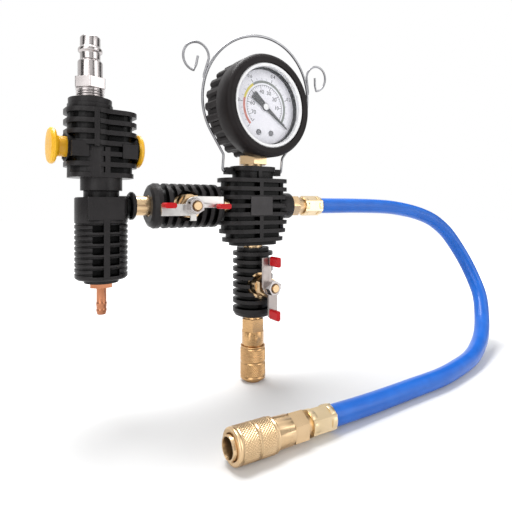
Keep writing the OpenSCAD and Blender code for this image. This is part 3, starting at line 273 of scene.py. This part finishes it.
# The boot's colour carries painted shade in its grooves
rubber = moulded("boot_rubber", (0.0145, 0.0120, 0.0122), (0.0195, 0.0165, 0.0168), 0.40, depth=0.06,
                 groove_shade=(6, 0.2), Specular_IOR_Level=BLACK_GLOSS)
seal = moulded("seal_rubber", (0.010, 0.010, 0.010), (0.016, 0.016, 0.016), 0.5)
seat = moulded("seat_plastic", (0.78, 0.78, 0.74), (0.86, 0.86, 0.83), 0.4, depth=0.02)
enamel = moulded("case_black", (0.012, 0.012, 0.013), (0.018, 0.018, 0.019), 0.35, depth=0.01)
white = moulded("bezel_white", (0.92, 0.92, 0.93), (0.95, 0.95, 0.96), 0.3, depth=0.01)
# The dial is white, with a faint blue tint that is painted reflection of the lens
dial_face = moulded("dial_white", (0.92, 0.91, 0.97), (0.95, 0.94, 0.99), 0.45, depth=0.01)
hose_skin = moulded("hose_blue", (0.008, 0.110, 0.500), (0.013, 0.138, 0.580), 0.32, grain=900, depth=0.03,
                    Coat_Weight=0.12, Coat_Roughness=0.14, Specular_IOR_Level=0.25)
zinc = metal("zinc_plate", (0.50, 0.485, 0.47), (0.60, 0.585, 0.565), 0.30)
# Shaded copy of the zinc plate, for the refill lever: painted shade
zinc_shaded = metal("zinc_plate_shaded", (0.30, 0.265, 0.25), (0.39, 0.35, 0.33), 0.34)
dark_steel = metal("screw_steel", (0.14, 0.14, 0.15), (0.20, 0.20, 0.21), 0.35)
chrome = metal("nickel_plate", (0.40, 0.37, 0.365), (0.48, 0.445, 0.44), 0.20, TURNED_Z, depth=0.006)
brass = metal("brass", *BRASS, TURNED_Z, depth=0.004)
# Painted shade darkens this brass in its knurl valleys and grooves
brass_x = metal("brass_along", *BRASS, TURNED_X, depth=0.004, groove_shade=(9, 0.22))
# Shaded copy of the brass, for the lower coupler's body and collar: painted shade
brass_shaded = metal("brass_shaded", (0.50, 0.30, 0.135), (0.58, 0.355, 0.17), 0.28, TURNED_Z, depth=0.004)
# Lit copy of the brass, for the hose's ferrules: painted highlight
brass_lit = metal("brass_lit", (0.69, 0.54, 0.33), (0.77, 0.61, 0.39), 0.30, TURNED_X, depth=0.004)
wire_chrome = metal("hanger_chrome", (0.20, 0.20, 0.21), (0.27, 0.27, 0.28), 0.14, grain=250, depth=0.001)
copper = metal("copper_tone", (0.36, 0.145, 0.075), (0.46, 0.20, 0.11), 0.22, TURNED_Z, depth=0.004)
glass = material("lens_clear", (0.60, 0.64, 0.70), 0.05, Alpha=0.04)
feed(glass, "Roughness", spread(glass, noise(glass, 60), 0.03, 0.08))

BY_SLOT = {"black_plastic": black, "yellow_plastic": yellow, "red_vinyl": red, "boot_rubber": rubber,
           "seal_rubber": seal, "seat_plastic": seat, "case_black": enamel, "bezel_white": white,
           "dial_white": dial_face, "hose_blue": hose_skin, "zinc_plate": zinc, "nickel_plate": chrome,
           "brass": brass, "copper_tone": copper, "lens_clear": glass}
# Own materials per node, among them the shaded and lit copies of the zinc and brass, which are painted shade
# and painted highlight
BY_NODE = {"manifold_block": block_black, "refill_lever": zinc_shaded, "socket_body": brass_shaded,
           "hose_fitting": brass_x, "inlet_ferrule": brass_lit, "outlet_ferrule": brass_lit,
           "port_nipple": brass_x, "hose_coupler_body": brass_x}


# CAD nodes keep their shape and take their own material or their slot's
for part in frame["record"]["subparts"]:
    piece = nodes[part["node"]]
    piece.data.materials.clear()
    piece.data.materials.append(BY_NODE.get(part["node"], BY_SLOT[part["material_slot"]]))
nodes["gauge_lens"].visible_shadow = False

# Small radii, in millimetres, on edges that are sharp in the solids
SOFT_EDGES = {0.5: ("suction_grips", "refill_grips"),
              0.4: ("gauge_boot",),
              0.35: ("manifold_block", "head_body", "ejector_body"),
              0.3: ("air_plug", "gauge_adapter", "hose_fitting"),
              0.25: ("inlet_ferrule", "outlet_ferrule", "hose_coupler_body", "socket_body"),
              0.2: ("suction_lever", "refill_lever", "exhaust_barb")}
EDGE_WELD = 0.01
EDGE_STEPS = 2
EDGE_ANGLE = math.radians(40)
for width, names in SOFT_EDGES.items():
    for name in names:
        join = nodes[name].modifiers.new("join", "WELD")
        join.merge_threshold = EDGE_WELD * MM
        edges = nodes[name].modifiers.new("edges", "BEVEL")
        edges.width = width * MM
        edges.segments = EDGE_STEPS
        edges.limit_method = "ANGLE"
        edges.angle_limit = EDGE_ANGLE
        edges.harden_normals = True


# New pieces
def piece_from(name, verts, faces, mat, body, place=None, smooth=True):
    """Mesh piece from points in millimetres, put in place and carried by a body."""
    mesh = bpy.data.meshes.new(name)
    mesh.from_pydata([Vector(v) * MM for v in verts], [], faces)
    if place is not None:
        mesh.transform(place)
    mesh.polygons.foreach_set("use_smooth", [smooth] * len(mesh.polygons))
    mesh.materials.append(mat)
    mesh.update()
    obj = bpy.data.objects.new(name, mesh)
    scene.collection.objects.link(obj)
    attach(obj, body)
    return obj


def tube(name, paths, radius, around, mat, body, node):
    """Round curve along each path of points in millimetres, in place of a CAD node."""
    curve = bpy.data.curves.new(name, "CURVE")
    curve.dimensions = "3D"
    for path in paths:
        spline = curve.splines.new("POLY")
        spline.points.add(len(path) - 1)
        for point, at in zip(spline.points, path):
            point.co = (*(at * MM), 1)
        spline.use_smooth = True
    curve.bevel_depth = radius * MM
    curve.bevel_resolution = around
    curve.use_fill_caps = True
    curve.materials.append(mat)
    obj = bpy.data.objects.new(name, curve)
    scene.collection.objects.link(obj)
    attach(obj, body)
    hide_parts(node)
    return obj


# Blue hose along the same points as its solid
HOSE_D = 10.6
HOSE_ROUTE = [
    (52.8, 0, 110.5), (64.8, 0, 110.5), (84, 0, 110.5), (103, -0.5, 110.2), (122, -1, 109.4),
    (140, -1.5, 107.2), (157, -3, 103.5), (171, -5, 98), (184, -7, 89), (193, -10, 77.5), (199, -15.5, 63),
    (200.5, -22.5, 48), (197, -29.5, 36), (186.5, -37.5, 22.5), (172.5, -45.5, 14), (156.5, -52.5, 9),
    (137, -59.5, 6.5), (116, -64.5, 5.8), (92.5, -68.5, 5.6), (65, -70, 5.6), (42, -71.1, 5.6),
    (26, -72, 5.9), (14, -72.6, 6.3), HOSE_END]
HOSE_STEPS = 6
HOSE_AROUND = 10


def smooth_path(points, steps):
    """Points on a Catmull-Rom curve through the given ones."""
    pts = [Vector(p) for p in points]
    pts = [2 * pts[0] - pts[1], *pts, 2 * pts[-1] - pts[-2]]
    path = []
    for a, b, c, d in zip(pts, pts[1:], pts[2:], pts[3:]):
        for i in range(steps):
            t = i / steps
            path.append(0.5 * (2 * b + (c - a) * t + (2 * a - 5 * b + 4 * c - d) * t ** 2
                               + (3 * b - a - 3 * c + d) * t ** 3))
    return [*path, pts[-2]]


def make_hose():
    path = smooth_path(HOSE_ROUTE, HOSE_STEPS)
    hose = tube("blue_hose", [path], HOSE_D / 2, HOSE_AROUND, hose_skin, "manifold", "hose")


# Wire hanger: bent pegs, legs, loop and the two scroll hooks, leaning forward on its pegs
WIRE_R = 0.8
HOOK_WIRE_R = 0.7
WIRE_AROUND = 6
EAR_Z = 132
LEAN = math.radians(9)
PEG_X = 12.5
LEG_X = 21.5
LEG_H = 9.6
BEND_R = 1.3
BEND_STEPS = 8
LOOP_R = 37.8
LOOP_Z = 44.8
LOOP_STEPS = 120
HOOK_R = 7.8
HOOK_WELD = math.radians(15)
HOOK_RISE = 9
HOOK_FOOT = 2
HOOK_TIP = -82
HOOK_STEPS = 60


def arc(x, z, r, start, end, steps):
    """Points (x, z) on a part circle, with its angles in degrees."""
    turns = [math.radians(start + (end - start) * i / steps) for i in range(steps + 1)]
    return [(x + r * math.cos(a), z + r * math.sin(a)) for a in turns]


def leaning(points, side=1):
    """Points of the upright hanger, tipped forward about its pegs, on one side of the gauge."""
    return [Vector((side * x, -z * math.sin(LEAN), EAR_Z + z * math.cos(LEAN))) for x, z in points]


def make_hanger():
    # The loop starts where a line from the leg's top touches its circle
    foot_x, foot_z = LEG_X, LEG_H - LOOP_Z
    start = math.degrees(math.atan2(foot_z, foot_x) + math.acos(LOOP_R / math.hypot(foot_x, foot_z)))
    leg = [(PEG_X, 0), (LEG_X - 2 * BEND_R, 0), *arc(LEG_X - BEND_R, BEND_R, BEND_R, -90, 0, BEND_STEPS),
           (LEG_X, LEG_H - 1), (LEG_X + 0.3, LEG_H + 0.6)]
    loop = arc(0, LOOP_Z, LOOP_R, start, 180 - start, LOOP_STEPS)
    path = [*leaning(leg), *leaning(loop), *reversed(leaning(leg, -1))]
    tube("hanger_loop", [path], WIRE_R, WIRE_AROUND, wire_chrome, "hanger", "hanger_wire")

    # Each hook is welded to the loop's outside and ends in a straight tail inside its own curl
    reach = LOOP_R + 1.6 * HOOK_WIRE_R
    base_x, base_z = reach * math.cos(HOOK_WELD), LOOP_Z + reach * math.sin(HOOK_WELD)
    x, z = base_x + 0.7 * HOOK_R, base_z + HOOK_RISE
    hook = [(base_x, base_z - HOOK_FOOT), (base_x, base_z), *arc(x, z, HOOK_R, 180, HOOK_TIP, HOOK_STEPS),
            (x - 0.3, z - 0.55 * HOOK_R), (x - 1, z + 0.5)]
    tube("hanger_scrolls", [leaning(hook), leaning(hook, -1)], HOOK_WIRE_R, WIRE_AROUND, wire_chrome, "hanger",
         "hanger_hooks")


make_hanger()


# Shapes turned about their own +Z axis
def turned(name, rings, around, mat, body, place, closed=False):
    """Mesh swept round +Z: each ring is a function or a plain (radius, height) pair, in millimetres."""
    verts = []
    for ring in rings:
        for k in range(around):
            a = 2 * math.pi * k / around
            r, z = ring(a) if callable(ring) else ring
            verts.append((r * math.cos(a), r * math.sin(a), z))
    count = len(rings)
    faces = []
    for i in range(count if closed else count - 1):
        for k in range(around):
            low, high = i * around, (i + 1) % count * around
            side = (k + 1) % around
            faces.append((low + k, low + side, high + side, high + k))
    if not closed:
        faces.append(tuple(reversed(range(around))))
        faces.append(tuple(range((count - 1) * around, count * around)))
    return piece_from(name, verts, faces, mat, body, place)


def wave(t):
    """Triangle wave from 0 to 1 and back, once for each whole number."""
    return 1 - abs(2 * (t % 1) - 1)


# Knurled collars of the two couplers
COLLAR_R = 8.0
COLLAR_LOW = 1.5
COLLAR_HIGH = 22.5
COLLAR_MIDDLE = 12.4
COLLAR_LAND = 5.7
COLLAR_SKIRT = 6.96
COLLAR_STEP = 8.05
COLLAR_WAIST = 0.55
KNURL_DEPTH = 0.5
KNURL_COUNT = 40
KNURL_LEAD = 0.62
KNURL_MAIN = 0.72
KNURL_CROSS = 0.28
KNURL_STEP = 0.22
KNURL_RUNOUT = 0.3
KNURL_AT_EDGE = 0.15
KNURL_AROUND = 360


def knurl_ring(z, hand, edge):
    """Ring of the knurl: ridges that lean one way, crossed by shallow ones that lean the other way."""
    def ring(a):
        turn = a / (2 * math.pi) * KNURL_COUNT
        lean = KNURL_LEAD * z
        cut = KNURL_MAIN * wave(turn + hand * lean) + KNURL_CROSS * wave(turn - hand * lean)
        return COLLAR_R - edge * KNURL_DEPTH * (1 - cut), z
    return ring


def knurl_band(low, high, hand):
    """Rings of one knurled band, which grows shallow at both edges."""
    rows = round((high - low) / KNURL_STEP)
    rings = []
    for i in range(rows + 1):
        z = low + (high - low) * i / rows
        edge = min(1, KNURL_AT_EDGE + min(z - low, high - z) / KNURL_RUNOUT)
        rings.append(knurl_ring(z, hand, edge))
    return rings


def make_collar(name, node, body, mat, hand, place):
    """Collar from its rounded nose to its back rim, with two knurled bands and a waist beside each."""
    z, top, mid, r = COLLAR_LOW, COLLAR_HIGH, COLLAR_MIDDLE, COLLAR_R
    waist = r - COLLAR_WAIST
    nose = [(COLLAR_LAND, z + 0.2), (COLLAR_LAND + 0.2, z), (r - 1.0, z), (r - 0.5, z + 0.15),
            (r - 0.2, z + 0.45), (r - 0.1, z + 0.9), (r - 0.1, z + 1.6), (r - 0.2, z + 1.85),
            (waist, z + 2.05), (waist, z + 2.45)]
    rim = [(waist, top - 1.6), (waist, top - 1.15), (r - 0.3, top - 0.85), (r - 0.2, top - 0.6),
           (r - 0.2, top - 0.2), (r - 0.4, top)]
    bore = [(COLLAR_SKIRT, top), (COLLAR_SKIRT, COLLAR_STEP), (COLLAR_LAND, COLLAR_STEP)]
    rings = [*nose, *knurl_band(z + 2.8, mid - 0.8, hand), (waist, mid - 0.5), (waist, mid + 0.5),
             *knurl_band(mid + 0.8, top - 1.9, hand), *rim, *bore]
    collar = turned(name, rings, KNURL_AROUND, mat, body, place, closed=True)
    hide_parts(node)
    return collar


make_collar("socket_collar", "socket_sleeve", "socket_collar", brass_shaded, -1, Matrix.Identity(4))
hose_collar = make_collar("hose_collar", "hose_coupler_sleeve", "hose_collar", brass_x, 1, COUPLER)


# Springs behind the collars
SPRING_WIRE = 0.8
SPRING_TURNS = 5
SPRING_STEPS = 24
SPRING_SIDES = 10
spring_low, spring_high = (Vector(c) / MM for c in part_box("socket_spring"))


def make_spring(name, node, place):
    """Coil of the size of its solid."""
    wire = SPRING_WIRE / 2
    mean_r = spring_high.x - wire
    start, end = spring_low.z + wire, spring_high.z - wire
    count = SPRING_TURNS * SPRING_STEPS
    verts, faces = [], []
    for i in range(count + 1):
        a = 2 * math.pi * i / SPRING_STEPS
        z = start + (end - start) * i / count
        for k in range(SPRING_SIDES):
            b = 2 * math.pi * k / SPRING_SIDES
            r = mean_r + wire * math.cos(b)
            verts.append((r * math.cos(a), r * math.sin(a), z + wire * math.sin(b)))
    for i in range(count):
        for k in range(SPRING_SIDES):
            low, high, side = i * SPRING_SIDES, (i + 1) * SPRING_SIDES, (k + 1) % SPRING_SIDES
            faces.append((low + k, high + k, high + side, low + side))
    faces.append(tuple(range(SPRING_SIDES)))
    faces.append(tuple(count * SPRING_SIDES + k for k in reversed(range(SPRING_SIDES))))
    spring = piece_from(name, verts, faces, zinc, "manifold", place)
    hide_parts(node)
    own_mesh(spring)
    return spring


make_spring("socket_coil", "socket_spring", Matrix.Identity(4))
hose_coil = make_spring("hose_coil", "hose_coupler_spring", COUPLER)
make_hose()


# Gauge dial: scale, coloured bands, numbers, screws, liner and the pointer's cap
DIAL_Z = 12.6
INK_Z = DIAL_Z + 0.07
ZERO_ANGLE = -31
SPAN_ANGLE = 257
FULL_SCALE = 76
YELLOW_FROM = 46
RED_FROM = 58
BAND_R = (14.6, 16.1)
BAND_STEP = 3
LINE_R = (13.2, 13.42)
BOLD = 0.32
FINE = 0.18
INNER_STEP = 2
INNER_LONG_R = 11.2
INNER_SHORT_R = 12.2
INNER_END_R = 13.3
OUTER_STEPS = 20
OUTER_R = 16.5
OUTER_LONG_R = 18.4
OUTER_SHORT_R = 17.5
NUMBER_R, NUMBER_H = 9.3, 3.5
OUTER_NUMBER_R, OUTER_NUMBER_H = 20.4, 2.9
NUMBER_THICK = 0.03
NUMBER_LIFT = 0.04
SCREW_X, SCREW_Y = 4.7, -15.7
SCREW = [(1.7, 0), (1.75, 0.35), (1.5, 0.75), (1.0, 0.8), (0.9, 0.7), (0.2, 0.7)]
LINER = [(23.25, 12.62), (23.25, 15.55), (22.75, 15.55), (22.75, 12.62)]
POINTER_CAP = [(2.0, 13.9), (2.0, 14.3), (1.7, 14.6), (1.1, 14.75), (0.9, 14.65), (0.2, 14.6)]

ink = moulded("dial_ink", (0.030, 0.030, 0.034), (0.045, 0.045, 0.050), 0.5, depth=0.005)
grey_ink = moulded("dial_grey", (0.20, 0.22, 0.20), (0.25, 0.27, 0.25), 0.5, depth=0.005)
yellow_ink = moulded("dial_yellow", (0.70, 0.58, 0.08), (0.76, 0.64, 0.12), 0.5, depth=0.005)
red_ink = moulded("dial_red", (0.62, 0.20, 0.16), (0.68, 0.24, 0.19), 0.5, depth=0.005)


def scale_angle(value):
    """Angle of a value on the scale."""
    return math.radians(ZERO_ANGLE + SPAN_ANGLE * value / FULL_SCALE)


def slab(outline, low, high, verts, faces):
    """Adds a flat prism over an outline of points."""
    start = len(verts)
    n = len(outline)
    verts += [(x, y, low) for x, y in outline] + [(x, y, high) for x, y in outline]
    faces.append(tuple(start + i for i in reversed(range(n))))
    faces.append(tuple(start + n + i for i in range(n)))
    faces += [(start + i, start + (i + 1) % n, start + n + (i + 1) % n, start + n + i) for i in range(n)]


def band(name, radii, first, last, mat):
    """Flat part ring on the dial, between two values of the scale."""
    start, end = scale_angle(first), scale_angle(last)
    steps = max(2, round(math.degrees(end - start) / BAND_STEP))
    verts, faces = [], []
    n = steps + 1
    for z in (DIAL_Z, INK_Z):
        for r in radii:
            for i in range(n):
                a = start + (end - start) * i / steps
                verts.append((r * math.cos(a), r * math.sin(a), z))
    for i in range(steps):
        low_in, low_out, high_in, high_out = (k * n + i for k in range(4))
        faces += [(high_in, high_out, high_out + 1, high_in + 1), (low_in, low_in + 1, low_out + 1, low_out),
                  (low_in, high_in, high_in + 1, low_in + 1), (low_out, low_out + 1, high_out + 1, high_out)]
    faces += [(0, n, 3 * n, 2 * n), (steps, 2 * n + steps, 3 * n + steps, n + steps)]
    return piece_from(name, verts, faces, mat, "manifold", GAUGE, smooth=False)


def make_ticks():
    verts, faces = [], []

    def tick(value, inner, outer, width):
        a = scale_angle(value)
        along = Vector((math.cos(a), math.sin(a)))
        across = Vector((-along.y, along.x)) * width / 2
        corners = [along * inner - across, along * outer - across, along * outer + across,
                   along * inner + across]
        slab([tuple(c) for c in corners], DIAL_Z, INK_Z, verts, faces)

    for value in range(0, FULL_SCALE, INNER_STEP):
        long = value % 10 == 0
        tick(value, INNER_LONG_R if long else INNER_SHORT_R, INNER_END_R, BOLD if long else FINE)
    tick(FULL_SCALE, INNER_LONG_R, INNER_END_R, BOLD)
    for step in range(OUTER_STEPS + 1):
        long = step % 4 == 0
        tick(FULL_SCALE * step / OUTER_STEPS, OUTER_R, OUTER_LONG_R if long else OUTER_SHORT_R,
             BOLD if long else FINE)
    piece_from("dial_ticks", verts, faces, ink, "manifold", GAUGE, smooth=False)


def make_numbers(name, labels, radius, height):
    """Plain numbers on the dial, one text curve each, joined in one mesh."""
    verts, faces = [], []
    for value, label in labels:
        text = bpy.data.curves.new("number", "FONT")
        text.body = label
        text.size = height
        text.align_x = "CENTER"
        text.align_y = "CENTER"
        text.extrude = NUMBER_THICK
        text.resolution_u = 3
        holder = bpy.data.objects.new("number", text)
        mesh = bpy.data.meshes.new_from_object(holder)
        a = scale_angle(value)
        start = len(verts)
        verts += [(v.co.x + radius * math.cos(a), v.co.y + radius * math.sin(a), v.co.z + DIAL_Z + NUMBER_LIFT)
                  for v in mesh.vertices]
        faces += [tuple(start + i for i in p.vertices) for p in mesh.polygons]
        bpy.data.meshes.remove(mesh)
        bpy.data.objects.remove(holder)
        bpy.data.curves.remove(text)
    piece_from(name, verts, faces, ink, "manifold", GAUGE, smooth=False)


def make_dial():
    band("dial_arc_grey", BAND_R, 0, YELLOW_FROM, grey_ink)
    band("dial_arc_yellow", BAND_R, YELLOW_FROM, RED_FROM, yellow_ink)
    band("dial_arc_red", BAND_R, RED_FROM, FULL_SCALE, red_ink)
    band("dial_line", LINE_R, 0, FULL_SCALE, ink)
    make_ticks()
    make_numbers("dial_numbers", [(v, str(v)) for v in range(10, 80, 10)], NUMBER_R, NUMBER_H)
    make_numbers("dial_outer_numbers", [(FULL_SCALE * k / 5, f"0.{2 * k}") for k in range(1, 5)],
                 OUTER_NUMBER_R, OUTER_NUMBER_H)
    for side, x in (("left", -SCREW_X), ("right", SCREW_X)):
        at = GAUGE @ Matrix.Translation(Vector((x, SCREW_Y, 0)) * MM)
        turned(f"dial_screw_{side}", [(r, DIAL_Z + z) for r, z in SCREW], 32, dark_steel, "manifold",
               at)
    turned("dial_liner", LINER, 128, black, "manifold", GAUGE, closed=True)
    turned("pointer_cap", POINTER_CAP, 40, white, "pointer", GAUGE)


make_dial()


# Thread of the air plug, between its hex and the head
plug_low, plug_high = (Vector(c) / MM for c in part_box("air_plug"))
PLUG_AXIS = ((plug_low + plug_high) / 2).xy.to_3d()
THREAD_ROOT_R = 6.43
THREAD_HEIGHT = 0.65
THREAD_RUNOUT = 0.5
THREAD_LOW = plug_low.z + 8.6
THREAD_HIGH = plug_low.z + 13.9
THREAD_PITCH = 1.34
THREAD_ROWS = 40
THREAD_AROUND = 72


def make_plug_thread():
    def ring(z):
        fade = min(1, (z - THREAD_LOW) / THREAD_RUNOUT, (THREAD_HIGH - z) / THREAD_RUNOUT)
        return lambda a: (THREAD_ROOT_R + THREAD_HEIGHT * fade * wave(z / THREAD_PITCH - a / (2 * math.pi)), z)
    rows = [THREAD_LOW + (THREAD_HIGH - THREAD_LOW) * i / THREAD_ROWS for i in range(THREAD_ROWS + 1)]
    turned("plug_thread", [ring(z) for z in rows], THREAD_AROUND, chrome, "manifold",
           Matrix.Translation(PLUG_AXIS * MM))


make_plug_thread()


# Floor and light; the floor glows more the further it lies from the part, so that it ends in white
FLOOR_HALF = 3.0
FLOOR_Z = cad_box[0][2]
FLOOR_TONE = 0.74
GLOW_NEAR, GLOW_FAR = 0.12, 0.6
GLOW_LOW, GLOW_HIGH = 0.08, 0.95
WORLD_LEVEL = 0.30
CORNERS = ((-1, -1), (1, -1), (1, 1), (-1, 1))


def seen_rays(owner):
    """Socket that is 1 for the rays that show the background: camera, mirror and glass rays."""
    rays = add(owner, "ShaderNodeLightPath").outputs
    mirror = calc(owner, "MAXIMUM", rays["Is Camera Ray"], rays["Is Glossy Ray"])
    return calc(owner, "MAXIMUM", mirror, rays["Is Transmission Ray"])


def stage_sheet(name, points, mat):
    """Flat four-sided sheet of the set."""
    mesh = bpy.data.meshes.new(name)
    mesh.from_pydata(points, [], [(0, 1, 2, 3)])
    mesh.materials.append(mat)
    sheet = bpy.data.objects.new(name, mesh)
    scene.collection.objects.link(sheet)
    return sheet


def make_floor():
    mat = bpy.data.materials.new("pale_floor")
    mat.use_nodes = True
    tree = mat.node_tree
    tree.nodes.remove(tree.nodes["Principled BSDF"])
    matt = add(mat, "ShaderNodeBsdfDiffuse", Color=(FLOOR_TONE, FLOOR_TONE, FLOOR_TONE, 1))
    place = add(mat, "ShaderNodeNewGeometry")
    away = add(mat, "ShaderNodeVectorMath", "LENGTH", Vector=place.outputs["Position"])
    level = spread(mat, away.outputs["Value"], GLOW_LOW, GLOW_HIGH, GLOW_NEAR, GLOW_FAR)
    strength = calc(mat, "MULTIPLY", seen_rays(mat), level)
    glow = add(mat, "ShaderNodeEmission", Color=(1, 1, 1, 1), Strength=strength)
    both = add(mat, "ShaderNodeAddShader")
    put(mat, both.inputs[0], matt.outputs[0])
    put(mat, both.inputs[1], glow.outputs[0])
    put(mat, tree.nodes["Material Output"].inputs["Surface"], both.outputs[0])
    floor = stage_sheet("floor", [(x * FLOOR_HALF, y * FLOOR_HALF, FLOOR_Z) for x, y in CORNERS], mat)


def make_world():
    world = bpy.data.worlds.new("studio")
    scene.world = world
    world.use_nodes = True
    back = world.node_tree.nodes["Background"]
    back.inputs["Color"].default_value = (1, 1, 1, 1)
    put(world, back.inputs["Strength"], spread(world, seen_rays(world), WORLD_LEVEL, 1.0))


def flag(name, centre, facing, width, height):
    """Dark card beside the set, seen only in the reflections of bright metal."""
    out = Vector(facing).normalized()
    side = Vector((-out.y, out.x, 0)) * width / 2
    rise = Vector((0, 0, height / 2))
    card = stage_sheet(name, [Vector(centre) + s * side + h * rise for s, h in CORNERS], seal)
    card.visible_camera = False
    card.visible_diffuse = False
    card.visible_shadow = False


def lamp(name, at, aim, size, watts):
    """Soft lamp of a width and height in metres, turned towards a point."""
    light = bpy.data.lights.new(name, "AREA")
    light.shape = "RECTANGLE"
    light.size, light.size_y = size
    light.energy = watts
    obj = bpy.data.objects.new(name, light)
    obj.location = at
    obj.rotation_euler = (Vector(aim) - Vector(at)).to_track_quat("-Z", "Y").to_euler()
    scene.collection.objects.link(obj)


make_floor()
make_world()
lamp("top_softbox", at=(-0.06, 0.18, 0.83), aim=(0.04, -0.04, 0.05), size=(0.5, 0.42), watts=9.5)
lamp("left_softbox", at=(-0.75, -0.55, 0.45), aim=(0, 0, 0.1), size=(0.6, 0.9), watts=4.4)
flag("front_flag", centre=(0.10, -0.60, 0.30), facing=(-0.3, 1, 0), width=0.16, height=0.9)
flag("left_flag", centre=(-0.80, 0.05, 0.30), facing=(1, 0, 0), width=0.45, height=0.9)
flag("right_flag", centre=(0.75, 0.10, 0.30), facing=(-1, 0, 0), width=0.45, height=0.9)
lamp("right_softbox", at=(0.55, -0.75, 0.4), aim=(0, 0, 0.1), size=(0.5, 0.8), watts=2.8)
